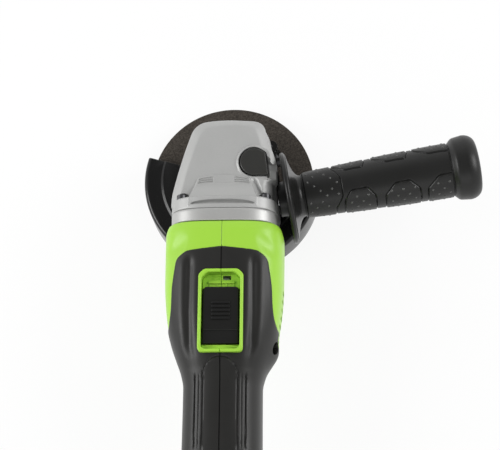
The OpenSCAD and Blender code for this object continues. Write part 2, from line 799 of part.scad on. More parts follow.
module carbon_brushes() {
    start = can_y + can_len;
    color([0.12, 0.12, 0.12]) for (side = [0, 1])
        mirror([side, 0, 0]) difference() {
            box([8, -start - 9, motor_z - 3], [20.5, -start - 3, motor_z + 3]);
            on_motor_axis(start) cylinder(r = 9.4, h = 12, $fn = 96);
        }
}

module air_baffle() {
    color([0.2, 0.2, 0.2]) on_motor_axis(can_y - 2) difference() {
        linear_extrude(height = 2) polygon(squircle(36, 28.3, 3.3, 40));
        translate([0, 0, -cut]) cylinder(r = 18, h = 5, $fn = 96);
    }
}

// ---------------------------------------------------------------- housing

// The corners of one section, at distance d behind the spindle axis, grown on all sides.
function section_ring(s, d, grow, count) = [
    for (p = squircle(s[1] + grow, (s[2] - s[3]) / 2 + grow, s[4], count))
        [p[0], -d, (s[2] + s[3]) / 2 + p[1]]
];

// The body as a chain of hulls; past is how far it runs past both ends.
module skin(grow, past = 0, count = SECTION_POINTS) {
    last = len(BODY) - 1;
    for (i = [0:last - 1]) {
        near = section_ring(BODY[i], BODY[i][0] - (i == 0 ? past : 0), grow, count);
        far = section_ring(BODY[i + 1], BODY[i + 1][0] + (i + 1 == last ? past : 0), grow, count);
        hull() polyhedron(concat(near, far),
                          [[for (k = [0:count - 1]) k], [for (k = [0:count - 1]) count + k]]);
    }
}

// The hollow inside the body.
module hollow() {
    skin(-wall, 1, 20);
}

module body_half(side) {
    box([side < 0 ? -60 : 0, -tail_y - 5, 0], [side < 0 ? 0 : 60, -housing_y + 5, 110]);
}

// Where the soft grip layer lies: on top between two edges, and all round the waist.
module grip_region() {
    edge = [[24, 69], [30, 74], [31, 82], [32.3, 94], [33, 109], [36.5, 118], [42, 124], [44, 203]];
    translate([0, 0, 68]) linear_extrude(height = 50) polygon(concat(
        [[0, -66.4]], [for (p = edge) [p[0], -p[1]]], [for (i = [7:-1:0]) [-edge[i][0], -edge[i][1]]]));
    rotate([90, 0, 90]) translate([0, 0, -60]) linear_extrude(height = 120)
        polygon([[-112, 96], [-117, 72], [-136.5, 50], [-150, 20], [-203, 20], [-203, 96]]);
}

// The window's outline in plan, with its chamfered front corners.
module window_plan(grow) {
    w = window_w / 2 + grow;
    front = grow - window_y;
    rear = -window_y - window_l - grow;
    polygon([[-w + 5, front], [w - 5, front], [w, front - 5], [w, rear + 4], [w - 1.2, rear + 1.2],
             [w - 4, rear], [-w + 4, rear], [-w + 1.2, rear + 1.2], [-w, rear + 4], [-w, front - 5]]);
}

// Screws that join the housing's halves: distance behind the spindle, height, depth of the head.
HOUSING_SCREWS = [[60, 35.2, 22], [60, 85.4, 22], [146.5, 43.5, 14], [222, 31, 17], [222, 87.1, 20]];
BOSS_R = 3.6;

module housing_shell(side) {
    difference() {
        union() {
            difference() {
                union() {
                    difference() {
                        skin(0);
                        grip_region();
                    }
                    skin(-grip_in);
                    // rim round the switch's window
                    difference() {
                        translate([0, 0, 85.6]) linear_extrude(height = 7.6) window_plan(0);
                        hollow();
                    }
                }
                hollow();
            }
            intersection() {
                skin(-2.1, 0, 20);
                union() {
                    // well round the switch's window
                    translate([0, 0, 85.6]) linear_extrude(height = 6) window_plan(0);
                    // seats of the motor
                    for (d = [can_y + 2, can_y + 38, can_y + 54])
                        box([-60, -d - 3, 0], [60, -d, 110]);
                    // stop in front of the baffle
                    box([-60, -can_y + 2.05, 0], [60, -can_y + 3.8, 110]);
                    // screw posts
                    for (s = HOUSING_SCREWS)
                        translate([-60, -s[0], s[1]]) rotate([0, 90, 0])
                            cylinder(r = BOSS_R, h = 120, $fn = 12);
                    for (p = FLANGE_SCREWS)
                        on_motor_axis(housing_y) translate([p[0], p[1], 0])
                            cylinder(r = 4.2, h = 11, $fn = 14);
                    // switch and terminal seats
                    box([-60, -switch_y - 1, 0], [60, -switch_y + 2, 110]);
                    box([-60, -terminal_y, 0], [60, -terminal_y + 2.6, 110]);
                    box([-60, -terminal_y - 8, 0], [60, -terminal_y - 5.6, 110]);
                    // keepers of the pack's latches
                    box([-60, -tail_y + 4, 54], [60, -tail_y + 6.5, 70]);
                }
            }
        }
        // motor
        on_motor_axis(can_y - 0.2) cylinder(r = can_r + 0.1, h = rear_bearing_y - can_y - 0.5, $fn = 48);
        on_motor_axis(housing_y - cut) cylinder(r = 27.6, h = 14, $fn = 48);
        on_motor_axis(housing_y) cylinder(r = 20, h = 30, $fn = 40);
        // window
        translate([0, 0, 80]) linear_extrude(height = 20) window_plan(-window_rim);
        // room for the slider's base
        box([-14, -slider_y - 42.6, 82.9], [14, -slider_y + slider_travel + 5.4, 85.7]);
        // switch, terminals and the slider's link
        box([-10.2, -switch_y - 24.4, 49.8], [10.2, -switch_y + 0.2, 79]);
        box([-4, -switch_y - 2, 60], [4, -switch_y + 12, 88]);
        box([-14.2, -terminal_y - 8.5, 49.8], [14.2, -terminal_y + 0.8, 74.2]);
        // room for the pack's stem and latches
        translate([0, 0, STEM_Z]) rotate([90, 0, 0]) linear_extrude(height = 300)
            polygon(squircle(STEM_HALF_W + move_gap, STEM_HALF_H + move_gap, 2.6, 28));
        box([-32.1, -tail_y + 3, 50], [32.1, -tail_y + 8, 74]);
        // screws
        for (s = HOUSING_SCREWS) {
            translate([-10, -s[0], s[1]]) rotate([0, 90, 0]) cylinder(r = 1.7, h = 40, $fn = 10);
            translate([s[2], -s[0], s[1]]) rotate([0, 90, 0]) cylinder(r = 3.3, h = 40, $fn = 14);
        }
        for (p = FLANGE_SCREWS)
            on_motor_axis(housing_y - cut) translate([p[0], p[1], 0]) cylinder(r = 2.25, h = 8, $fn = 12);
        // air slots
        for (i = [0:vent_count - 1])
            box([-60, -92 - vent_pitch * i - 2.4, 50], [60, -92 - vent_pitch * i, 66]);
        body_half(-side);
    }
}

module housing_left() {
    color([0.66, 0.87, 0.32]) housing_shell(-1);
}

module housing_right() {
    color([0.66, 0.87, 0.32]) housing_shell(1);
}

module grip_cover(side) {
    difference() {
        intersection() {
            skin(grip_out);
            grip_region();
        }
        skin(-grip_in, 1);
        translate([0, 0, 60]) linear_extrude(height = 60) window_plan(0);
        for (s = HOUSING_SCREWS)
            translate([s[2], -s[0], s[1]]) rotate([0, 90, 0]) cylinder(r = 3.3, h = 40, $fn = 14);
        body_half(-side);
    }
}

module grip_cover_left() {
    color([0.2, 0.2, 0.2]) grip_cover(-1);
}

module grip_cover_right() {
    color([0.2, 0.2, 0.2]) grip_cover(1);
}

module housing_screws() {
    color([0.3, 0.3, 0.3]) for (s = HOUSING_SCREWS)
        translate([s[2] + 2.4, -s[0], s[1]]) rotate([0, -90, 0]) screw(3.1, 2.4, 1.55, s[2] + 9);
}

// ---------------------------------------------------------------- switch

// The button's outline in plan; its front corners clear the window's chamfers at the end of its travel.
module slider_plan(half_w, grow) {
    w = half_w + grow;
    front = grow - slider_y;
    rear = -slider_y - slider_l - grow;
    polygon([[-w, rear], [w, rear], [w, front - 3], [w - 3, front], [3 - w, front], [-w, front - 3]]);
}

module switch_slider() {
    front = -slider_y;
    half_w = 11.5;
    base_z = 83.3;
    color([0.1, 0.1, 0.1]) difference() {
        union() {
            box([-13.6, front - 42.2, base_z], [13.6, front + 4.8, base_z + 2]);
            translate([0, 0, base_z + 1]) linear_extrude(height = 89 - base_z) slider_plan(half_w, 0);
            translate([0, 0, 89]) linear_extrude(height = 2) slider_plan(half_w, -1);
            for (i = [0:slider_ribs - 1])
                box([-5.6, front - 12.2 - 2.6 * i, 90], [5.6, front - 11.2 - 2.6 * i, 92]);
        }
        box([-half_w - 1, front - 38.6, 90], [half_w + 1, front - 29, 93]);
        box([-3, front - 42.6, base_z - 1], [3, front - 34.6, base_z + 3]);
    }
}

module slider_link() {
    base_z = 83.3;
    color([0.75, 0.75, 0.72]) union() {
        box([-3, -slider_y - 48.6, base_z], [3, -slider_y - 34.6, base_z + 2]);
        box([-3, -slider_y - 48.6, 76], [3, -slider_y - 46.2, base_z + 1]);
        box([-3, -switch_y - 8.4, 76], [3, -slider_y - 46.6, 78]);
        box([-1.5, -switch_y - 8.2, 72.8], [1.5, -switch_y - 5.8, 77]);
    }
}

module power_switch() {
    color([0.15, 0.15, 0.17]) difference() {
        union() {
            box([-10, -switch_y - 24.2, 50], [10, -switch_y, 75.6]);
            for (x = [-7, 4])
                box([x, -switch_y - 25.8, 54], [x + 3, -switch_y - 24, 56]);
        }
        box([-1.9, -switch_y - 9, 72.4], [1.9, -switch_y + 2, 78]);
    }
}

module battery_terminals() {
    color([0.8, 0.8, 0.78]) {
        box([-14, -terminal_y - 5.6, 50], [14, -terminal_y, 74]);
        for (x = BLADES_X)
            box([x, -stem_front - 6, 54], [x + 1, -terminal_y - 5, 70]);
    }
}

// ---------------------------------------------------------------- side handle

module handle_core() {
    color([0.12, 0.12, 0.12]) on_handle_axis() difference() {
        union() {
            cylinder(r = 12, h = 6, $fn = 64);
            translate([0, 0, 5.2]) cylinder(r = handle_disc_r, h = 3.5, $fn = 120);
            rotate_extrude($fn = 96) polygon([[0, 8], [25, 8], [25, 8.9], [19.5, 10], [15.5, 12.2],
                                              [14, 15], [13.6, 17], [0, 17]]);
            cylinder(r = 10, h = handle_len - 10, $fn = 64);
        }
        translate([0, 0, -cut]) cylinder(d = stud_d, h = 27, $fn = 64);
    }
}

module handle_grip() {
    end = handle_len;
    groove = end - 20;
    color([0.17, 0.17, 0.17]) on_handle_axis() rotate_extrude($fn = 96) polygon(concat([
        [10, 17], [grip_r0, 17], [grip_r1, groove - 2],
        [grip_r1 - 1.4, groove - 0.6], [grip_r1 - 1.4, groove + 0.6], [grip_r1, groove + 1.6],
        [bulb_r - 1.6, groove + 4.6], [bulb_r, end - 13], [bulb_r, end - 9]],
        [for (a = [15:15:90]) [bulb_r - 6 + 6 * cos(a), end - 8 + 8 * sin(a)]],
        [[0, end], [0, end - 10], [10, end - 10]]
    ));
}

module handle_stud() {
    color("silver") on_handle_axis() translate([0, 0, 1 - stud_depth]) {
        cylinder(d = stud_d - 2 * run_gap, h = stud_depth + 24, $fn = 64);
    }
}

// ---------------------------------------------------------------- battery pack

pack_low = 16;
pack_high = 96;
pack_mid = (pack_low + pack_high) / 2;
pack_half_h = (pack_high - pack_low) / 2;
// The stem's centre height, half width and half height.
STEM_Z = 62.1;
STEM_HALF_W = 21.8;
STEM_HALF_H = 20.7;

module pack_section(shrink, h) {
    linear_extrude(height = h) polygon(squircle(pack_half_w - shrink, pack_half_h - shrink, 4.6, 40));
}

module stem_section(shrink, h) {
    linear_extrude(height = h)
        polygon(squircle(STEM_HALF_W - shrink, STEM_HALF_H - shrink, 2.6, 28));
}

// Opening in the pack's side for a latch button, and its passage through the front.
module latch_room(side) {
    mirror([side < 0 ? 1 : 0, 0, 0]) {
        box([34, -tail_y - 16.4, 53.6], [40, -tail_y - 5.6, 70.4]);
        box([24, -tail_y - 8, 53.6], [31, -tail_y + 1, 70.4]);
    }
}

module pack_front_shell() {
    split = 12;
    color([0.13, 0.13, 0.13]) difference() {
        union() {
            translate([0, -tail_y, pack_mid]) rotate([90, 0, 0]) pack_section(0, split);
            translate([0, -stem_front, STEM_Z]) rotate([90, 0, 0]) stem_section(0, stem_l + 1);
        }
        translate([0, -tail_y - 2.6, pack_mid]) rotate([90, 0, 0]) pack_section(2.4, 40);
        translate([0, -stem_front - 2, STEM_Z]) rotate([90, 0, 0]) stem_section(1.8, stem_l + 2);
        for (x = BLADES_X)
            box([x - 0.6, -stem_front - 3, 53], [x + 1.6, -stem_front + 1, 71]);
        for (side = [-1, 1])
            latch_room(side);
        translate([0, -tail_y - split, 0]) box([-60, -20, 0], [60, 0, 120]);
    }
}

module pack_rear_shell() {
    split = 12;
    color([0.13, 0.13, 0.13]) difference() {
        hull() {
            translate([0, -tail_y - split, pack_mid]) rotate([90, 0, 0])
                pack_section(0, pack_l - split - 7);
            translate([0, -pack_end + 3, pack_mid]) rotate([90, 0, 0]) pack_section(1.4, 1);
            translate([0, -pack_end + 1, pack_mid]) rotate([90, 0, 0]) pack_section(4.5, 1);
        }
        translate([0, -tail_y, pack_mid]) rotate([90, 0, 0]) pack_section(2.4, pack_l - 4);
        for (side = [-1, 1])
            latch_room(side);
    }
}

module pack_cells() {
    cell_row_y = pack_end - 13.6;
    color("teal") {
        for (x = [-1, 1])
            translate([9.4 * x, -stem_front - 6, STEM_Z]) rotate([90, 0, 0])
                cylinder(r = 9.2, h = cell_row_y - 9.3 - stem_front - 6, $fn = 64);
        for (x = [-1, 0, 1])
            translate([19 * x, -cell_row_y, pack_mid - 32.5]) cylinder(r = 9.2, h = 65, $fn = 64);
        // holder that carries the cells
        difference() {
            box([-20, -pack_end + 6, pack_low + 3.4], [20, -tail_y - 18, pack_mid - 31]);
            box([-16, -pack_end + 9, pack_low], [16, -tail_y - 21, pack_mid - 34]);
        }
        for (y = [-pack_end + 6, -tail_y - 21])
            box([-10, y, pack_low + 2.45], [10, y + 3, pack_low + 4]);
        box([-12, -tail_y - 24, pack_mid - 31.5], [12, -tail_y - 20, STEM_Z - 8]);
    }
}

module pack_contacts() {
    color("gold") for (x = BLADES_X)
        for (dx = [-1.1, 1.4])
            box([x + dx, -stem_front - 6, 55], [x + dx + 0.7, -stem_front - 2, 69]);
}

module pack_latch(side) {
    mirror([side < 0 ? 1 : 0, 0, 0]) union() {
        // button
        box([29.5, -tail_y - 16, 54], [38.9, -tail_y - 6, 70]);
        box([31, -tail_y - 17.4, 52.6], [35.2, -tail_y - 5.2, 71.4]);
        // arm and hook
        box([27, -tail_y - 15, 55], [29.7, -tail_y + 10, 69]);
        box([29, -tail_y + 6.8, 55], [31.8, -tail_y + 10, 69]);
    }
}

module pack_latch_left() {
    color([0.3, 0.3, 0.3]) pack_latch(-1);
}

module pack_latch_right() {
    color([0.3, 0.3, 0.3]) pack_latch(1);
}

gear_case();
bearing_plate();
gear_case_screws();
bearing_cap();
bearing_cap_screws();
spindle_bush();
spindle_bearing_outer();
spindle_bearing_inner();
spindle();
crown_gear();
inner_flange();
grinding_wheel();
lock_nut();
guard_shell();
guard_band();
guard_clamp_bolt();
guard_clamp_pin();
guard_lever();
lock_button();
lock_pin();
lock_spring();
armature_shaft();
armature_core();
armature_windings();
commutator();
pinion();
cooling_fan();
front_bearing_outer();
front_bearing_inner();
rear_bearing_outer();
rear_bearing_inner();
motor_can();
motor_magnets();
brush_plate();
brush_holders();
carbon_brushes();
air_baffle();
housing_left();
housing_right();
grip_cover_left();
grip_cover_right();
housing_screws();
switch_slider();
slider_link();
power_switch();
battery_terminals();
handle_core();
handle_grip();
handle_stud();
pack_front_shell();
pack_rear_shell();
pack_cells();
pack_contacts();
pack_latch_left();
pack_latch_right();
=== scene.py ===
"""Looks of a cordless angle grinder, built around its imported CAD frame.

Shapes are worked out in millimetres, in the frame of the CAD model: +Z is up, +Y is the nose and +X is
the side with the auxiliary handle. The spindle's axis is Z. The motor's axis is parallel to Y, and
"depth" is the distance behind the spindle's axis, so that depth is -Y.
"""

from __future__ import annotations

import json
import logging
import math
from dataclasses import dataclass, replace
from enum import Enum

import bmesh
import bpy
import numpy as np
from mathutils import Matrix, Vector

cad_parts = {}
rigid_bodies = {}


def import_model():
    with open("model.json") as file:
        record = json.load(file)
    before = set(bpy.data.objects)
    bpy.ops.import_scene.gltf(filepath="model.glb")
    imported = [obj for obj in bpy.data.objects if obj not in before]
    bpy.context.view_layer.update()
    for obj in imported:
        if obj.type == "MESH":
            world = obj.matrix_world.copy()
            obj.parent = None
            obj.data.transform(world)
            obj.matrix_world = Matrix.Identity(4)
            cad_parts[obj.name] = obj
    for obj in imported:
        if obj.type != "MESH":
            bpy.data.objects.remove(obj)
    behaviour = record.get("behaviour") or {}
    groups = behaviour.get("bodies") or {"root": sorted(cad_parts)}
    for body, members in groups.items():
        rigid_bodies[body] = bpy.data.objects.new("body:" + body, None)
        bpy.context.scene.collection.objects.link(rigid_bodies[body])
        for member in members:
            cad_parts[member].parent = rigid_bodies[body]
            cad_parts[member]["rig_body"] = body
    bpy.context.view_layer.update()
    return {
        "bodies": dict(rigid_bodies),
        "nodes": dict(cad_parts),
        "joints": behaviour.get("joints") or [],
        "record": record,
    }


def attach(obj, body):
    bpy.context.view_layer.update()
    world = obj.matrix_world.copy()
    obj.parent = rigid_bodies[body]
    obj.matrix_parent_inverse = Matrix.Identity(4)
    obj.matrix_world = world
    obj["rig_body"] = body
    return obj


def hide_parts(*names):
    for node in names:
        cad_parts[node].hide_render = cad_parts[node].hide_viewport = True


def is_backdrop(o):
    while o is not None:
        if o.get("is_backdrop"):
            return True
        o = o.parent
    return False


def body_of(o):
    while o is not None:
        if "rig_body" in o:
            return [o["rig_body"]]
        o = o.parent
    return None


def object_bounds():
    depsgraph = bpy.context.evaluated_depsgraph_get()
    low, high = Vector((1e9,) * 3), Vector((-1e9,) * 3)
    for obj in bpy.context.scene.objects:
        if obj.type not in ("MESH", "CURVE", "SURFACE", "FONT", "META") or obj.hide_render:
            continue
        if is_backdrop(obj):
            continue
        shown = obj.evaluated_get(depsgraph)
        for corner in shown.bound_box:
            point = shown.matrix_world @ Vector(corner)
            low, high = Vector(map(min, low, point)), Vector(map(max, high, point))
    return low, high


logging.basicConfig(level=logging.INFO, format="%(message)s")
LOG = logging.getLogger("grinder")

Array = np.ndarray
Colour = tuple[float, float, float]
Outline = tuple[tuple[float, float], ...]
MM = 0.001
MOTOR_Z = 60.0
FRAME: dict = {}


# ------------------------------------------------------------------ surfaces


@dataclass
class Surface:
    """A mesh in the making: points in millimetres and the quads that join them."""

    points: Array
    quads: Array

    def moved(self, offset: Array | list[float]) -> Surface:
        """Returns the surface shifted by an offset."""
        return Surface(self.points + offset, self.quads)

    def on_side(self, side: int) -> Surface:
        """Returns the surface itself for the right side, 1, and its image in the plane X = 0 for the left, -1."""
        return self if side > 0 else Surface(self.points * [-1, 1, 1], self.quads[:, ::-1])

    def boundary(self) -> Array:
        """Returns the directed edges that only one quad has, as pairs of point numbers.

        Returns:
            rows of two point numbers.
        """
        edges = np.concatenate([self.quads[:, [k, (k + 1) % 4]] for k in range(4)])
        edges = edges[edges[:, 0] != edges[:, 1]]
        size = len(self.points)
        back = edges[:, 1] * size + edges[:, 0]
        return edges[~np.isin(edges[:, 0] * size + edges[:, 1], back)]

    def with_inside(self, inside: Array) -> Surface:
        """Returns a closed wall: this surface, its inside turned round, and a rim along every edge.

        Args:
            inside: the inner point for each of this surface's points.

        Returns:
            the closed wall.
        """
        start = len(self.points)
        edge = self.boundary()
        rim = np.column_stack([edge[:, 1], edge[:, 0], edge[:, 0] + start, edge[:, 1] + start])
        quads = np.concatenate([self.quads, self.quads[:, ::-1] + start, rim])
        return Surface(np.concatenate([self.points, inside.reshape(-1, 3)]), quads)


def merged(*parts: Surface) -> Surface:
    """Puts several surfaces together.

    Args:
        parts: the surfaces, in order.

    Returns:
        the surfaces as one.
    """
    starts = np.cumsum([0] + [len(part.points) for part in parts[:-1]])
    quads = [part.quads + start for part, start in zip(parts, starts)]
    return Surface(np.concatenate([part.points for part in parts]), np.concatenate(quads))


def grid(points: Array, wrap_rows: bool = False, wrap_cols: bool = False) -> Surface:
    """Joins a grid of points with quads, which turn from the rows' direction to the columns' direction.

    Args:
        points: rows by columns by 3.
        wrap_rows: whether the last row joins the first.
        wrap_cols: whether the last column joins the first.

    Returns:
        the joined surface.
    """
    rows, cols = points.shape[:2]
    number = np.arange(rows * cols).reshape(rows, cols)
    ahead = np.roll(number, -1, 0) if wrap_rows else number[1:]
    here = number if wrap_rows else number[:-1]
    if wrap_cols:
        corners = [here, ahead, np.roll(ahead, -1, 1), np.roll(here, -1, 1)]
    else:
        corners = [here[:, :-1], ahead[:, :-1], ahead[:, 1:], here[:, 1:]]
    return Surface(points.reshape(-1, 3), np.stack(corners, -1).reshape(-1, 4))


def lathe(profile: list[tuple[float, float]], count: int) -> Surface:
    """Turns a profile about the Z axis; the points of a pole fall together and are welded later.

    Args:
        profile: (radius, height) pairs, from one end to the other.
        count: number of points round the axis.

    Returns:
        the turned surface.
    """
    turn = np.linspace(0, 2 * np.pi, count, endpoint=False)
    radius, height = np.array(profile, float).T[:, :, None]
    points = np.stack([radius * np.cos(turn), radius * np.sin(turn), height + 0 * turn], -1)
    return grid(points, wrap_cols=True)


def rounded(corners: list[tuple[float, float]], radius: float | list[float], steps: int) -> Array:
    """Rounds the corners of a closed outline with arcs.

    Each corner becomes the arc that touches both of its sides, worked out as a blend of the corner's two
    tangent points: p(t) = (1-t)^2 a + 2 t (1-t) c + t^2 b.

    Args:
        corners: the corners in order.
        radius: distance from a corner to its arc's ends, for all corners or for each.
        steps: number of points on each arc.

    Returns:
        the new outline's points.
    """
    c = np.asarray(corners, float)
    reach = np.broadcast_to(np.asarray(radius, float), len(c))[:, None]
    ends = []
    for neighbour in (np.roll(c, 1, 0), np.roll(c, -1, 0)):
        side = neighbour - c
        length = np.linalg.norm(side, axis=1, keepdims=True)
        ends.append((c + side / length * np.minimum(reach, length * 0.48))[:, None])
    t = np.linspace(0, 1, steps)[None, :, None]
    points = (1 - t) ** 2 * ends[0] + 2 * t * (1 - t) * c[:, None] + t**2 * ends[1]
    return points.reshape(-1, c.shape[1])


def oblong(left: float, right: float, rear: float, front: float, radius: float | list[float], steps: int) -> Array:
    """A rectangle in plan with rounded corners, which starts at its rear left and runs anticlockwise.

    Args:
        left: smallest X.
        right: largest X.
        rear: smallest Y.
        front: largest Y.
        radius: distance from a corner to its arc's ends, for all corners or for each.
        steps: number of points on each arc.
    """
    return rounded([(left, rear), (right, rear), (right, front), (left, front)], radius, steps)


def inward(outline: Array, distance: float | Array) -> Array:
    """Moves a closed outline, which runs anticlockwise, inwards along its normals.

    Args:
        outline: its points.
        distance: how far each point moves, or all of them do.

    Returns:
        the moved outline.
    """
    unit = [side / np.linalg.norm(side, axis=1, keepdims=True)
            for side in (np.roll(outline, -1, 0) - outline, outline - np.roll(outline, 1, 0))]
    tangent = unit[0] + unit[1]
    tangent /= np.linalg.norm(tangent, axis=1, keepdims=True)
    normal = np.column_stack([-tangent[:, 1], tangent[:, 0]])
    return outline + normal * np.reshape(distance, (-1, 1))


def slab(outline: Array, low: float, high: float, edge: float, steps: int) -> Surface:
    """A closed block on a plan outline, with both rims rounded.

    Each level's outline is the plan moved inwards by edge (1 - cos a), at a height edge (1 - sin a) short
    of the face. A ring just inside each rim keeps its face flat, and the face closes on the outline's middle.

    Args:
        outline: the plan, anticlockwise.
        low: height of the lower face.
        high: height of the upper face.
        edge: radius of the rims.
        steps: number of levels on each rim.

    Returns:
        the block.
    """
    turn = np.linspace(0, np.pi / 2, steps)
    inset, drop = edge * (1 - np.cos(turn)), edge * (1 - np.sin(turn))
    inset = np.concatenate([inset[::-1], inset])
    level = np.concatenate([low + drop[::-1], high - drop])
    middle = np.append(outline.mean(0), 0)
    rings = [lifted(inward(outline, i), z) for i, z in zip(inset, level)]
    ends = [[(ring - middle) * [share, share, 1] + middle for share in (0, 0.96)] for ring in (rings[0], rings[-1])]
    return tube([*ends[0], *rings, *ends[1][::-1]])


def cutting_slab(outline: Array, low: float, high: float) -> Surface:
    """A closed block with all but sharp rims, to cut with; its sizes are those of a slab."""
    return slab(outline, low, high, 0.01, 2)


def hermite(at: Array, values: Array, x: Array) -> Array:
    """A smooth curve through given values that never overshoots them.

    Each stretch is a cubic whose end slopes are the harmonic mean of the slopes on both sides.

    Args:
        at: places of the values, rising.
        values: the values there.
        x: where the curve is wanted.

    Returns:
        the curve's values at x.
    """
    step = np.diff(at)
    slope = np.diff(values) / step
    product = slope[:-1] * slope[1:]
    middle = np.where(product > 0, 2 * product / np.where(product > 0, slope[:-1] + slope[1:], 1), 0)
    ends = np.concatenate([slope[:1], middle, slope[-1:]])
    k = np.clip(np.searchsorted(at, x) - 1, 0, len(step) - 1)
    t = np.clip((x - at[k]) / step[k], 0, 1)
    return (values[k] * (1 + 2 * t) * (1 - t) ** 2 + ends[k] * step[k] * t * (1 - t) ** 2
            + values[k + 1] * t**2 * (3 - 2 * t) + ends[k + 1] * step[k] * t**2 * (t - 1))


def smooth_step(low: float, high: float, x: Array) -> Array:
    """0 below low, 1 above high, and 3t^2 - 2t^3 between them."""
    t = np.clip((x - low) / (high - low), 0, 1)
    return t * t * (3 - 2 * t)


def fillet(distance: Array, radius: float) -> Array:
    """How far a rounded edge lies below its face, at a distance from the edge: r - sqrt(r^2 - (r-d)^2)."""
    return radius - np.sqrt(radius**2 - np.clip(radius - distance, 0, radius) ** 2)


def groove(distance: Array, half_width: float, depth: float) -> Array:
    """Depth of a round-bottomed groove at a distance from its middle: depth (1 - (d/w)^2), squared."""
    return depth * np.clip(1 - (distance / half_width) ** 2, 0, 1) ** 2


def outline_distance(x: Array, y: Array, outline: Array) -> Array:
    """Signed distance from points to a closed outline, negative inside it.

    It is the least distance to any side, and a point lies inside when a ray to its right crosses an odd
    number of sides.

    Args:
        x: the points' first coordinates.
        y: their second coordinates.
        outline: the outline's corners.

    Returns:
        the distances, shaped like x.
    """
    a, b = outline, np.roll(outline, -1, 0)
    px, py = x[..., None] - a[:, 0], y[..., None] - a[:, 1]
    ex, ey = (b - a).T
    t = np.clip((px * ex + py * ey) / (ex**2 + ey**2), 0, 1)
    distance = np.sqrt(((px - ex * t) ** 2 + (py - ey * t) ** 2).min(-1))
    above = (a[:, 1] > y[..., None]) != (b[:, 1] > y[..., None])
    cross = a[:, 0] + py * ex / np.where(ey == 0, 1e-9, ey)
    inside = (above & (x[..., None] < cross)).sum(-1) % 2 == 1
    return np.where(inside, -distance, distance)


def superellipse(half_w: Array, half_h: Array, power: Array, turn: Array) -> tuple[Array, Array]:
    """A point of a squarish oval: w |cos|^(2/p) across and h |sin|^(2/p) up, with their signs."""
    return tuple(half * np.sign(wave) * np.abs(wave) ** (2 / power)
                 for half, wave in ((half_w, np.cos(turn)), (half_h, np.sin(turn))))


def lifted(plan: Array, height: float) -> Array:
    """Returns a plan's points as points of the model at one height."""
    return np.column_stack([plan, np.full(len(plan), height)])


def tube(rings: list[Array]) -> Surface:
    """Joins closed rings of equally many points, one after the other."""
    return grid(np.stack(rings), wrap_cols=True)


def resampled(outline: Array, count: int) -> Array:
    """Returns a closed outline as points spaced evenly along it.

    Args:
        outline: its points, without the first one repeated.
        count: how many points it gets.

    Returns:
        the new points, the first one where the outline starts.
    """
    loop = np.concatenate([outline, outline[:1]])
    run = np.concatenate([[0], np.hypot(*np.diff(loop, axis=0).T).cumsum()])
    want = np.linspace(0, run[-1], count, endpoint=False)
    return np.column_stack([np.interp(want, run, loop[:, 0]), np.interp(want, run, loop[:, 1])])


def on_motor_axis(surface: Surface) -> Surface:
    """Lays a surface's Z axis along the motor's axis, pointing to the rear, with its Y axis pointing up."""
    x, y, z = surface.points.T
    return Surface(np.column_stack([x, -z, y + MOTOR_Z]), surface.quads[:, ::-1])


@dataclass(frozen=True)
class Axis:
    """An axis in the model's frame, for pieces that are worked out about Z."""

    origin: tuple[float, float, float]
    along: tuple[float, float, float]
    up: tuple[float, float, float] = (0.0, 0.0, 1.0)

    def place(self, surface: Surface) -> Surface:
        """Returns the surface with its Z axis laid along this one and its X axis pointing up.

        Args:
            surface: a surface worked out about Z.

        Returns:
            the placed surface.
        """
        z = np.array(self.along, float) / np.linalg.norm(self.along)
        x = np.array(self.up, float) - np.dot(self.up, z) * z
        x /= np.linalg.norm(x)
        frame = np.stack([x, np.cross(z, x), z])
        return Surface(surface.points @ frame + np.array(self.origin), surface.quads)


# ------------------------------------------------------------------ finishes


class Pattern(Enum):
    """Kinds of surface detail."""

    MOULDED = "moulded skin"
    RUBBER = "stippled rubber"
    CAST = "cast and painted metal"
    TURNED = "turned about Z"
    BRUSHED = "ground along one way"
    GRIT = "bonded grit"
    WOUND = "wound wire"


@dataclass(frozen=True)
class Finish:
    """The look of a surface: its colour, gloss, and the detail that breaks both up.

    Attributes:
        name: the material's name.
        slot: the record's material slot; not used.
        pattern: the kind of detail.
        colour: linear colour.
        roughness: middle roughness.
        metallic: 1 for bare metal.
        gloss: specular level, 0.5 for most plastics.
        tone: how far the colour wanders, as a share.
        size: size of one grain, in millimetres.
        depth: height of the grain, in millimetres.
        spread: how far the roughness wanders.
        wear: share of the surface that is scuffed.
        worn: colour of a scuff.
        stretch: how much longer than wide a grain is, along each axis.
    """

    name: str
    slot: str
    pattern: Pattern
    colour: Colour
    roughness: float
    metallic: float = 0.0
    gloss: float = 0.5
    tone: float = 0.05
    size: float = 0.6
    depth: float = 0.02
    spread: float = 0.06
    wear: float = 0.08
    worn: Colour = (0.3, 0.3, 0.3)
    stretch: Colour = (1.0, 1.0, 1.0)

    def material(self) -> bpy.types.Material:
        """Returns the finish's material, made once.

        Returns:
            the material.
        """
        if self.name in bpy.data.materials:
            return bpy.data.materials[self.name]
        made = bpy.data.materials.new(self.name)
        made.use_nodes = True
        w = Wiring(made.node_tree)
        place = w.add("Mapping", Vector=w.add("TexCoord").outputs["Object"], Scale=[1 / s for s in self.stretch])
        detail = w.add("Group")
        detail.node_tree = detail_group(self.pattern)
        w.feed(detail, Vector=place.outputs[0], Colour=(*self.colour, 1), Worn=(*self.worn, 1), Wear=self.wear,
               Roughness=self.roughness, Spread=self.spread, Tone=self.tone, Scale=1000 / self.size)
        bump = w.add("Bump", Height=detail.outputs["Height"], Distance=self.depth * MM, Strength=1)
        w.feed(w.tree.nodes["Principled BSDF"], Base_Color=detail.outputs["Colour"], Metallic=self.metallic,
               Roughness=detail.outputs["Roughness"], Specular_IOR_Level=self.gloss, Normal=bump.outputs[0])
        return made


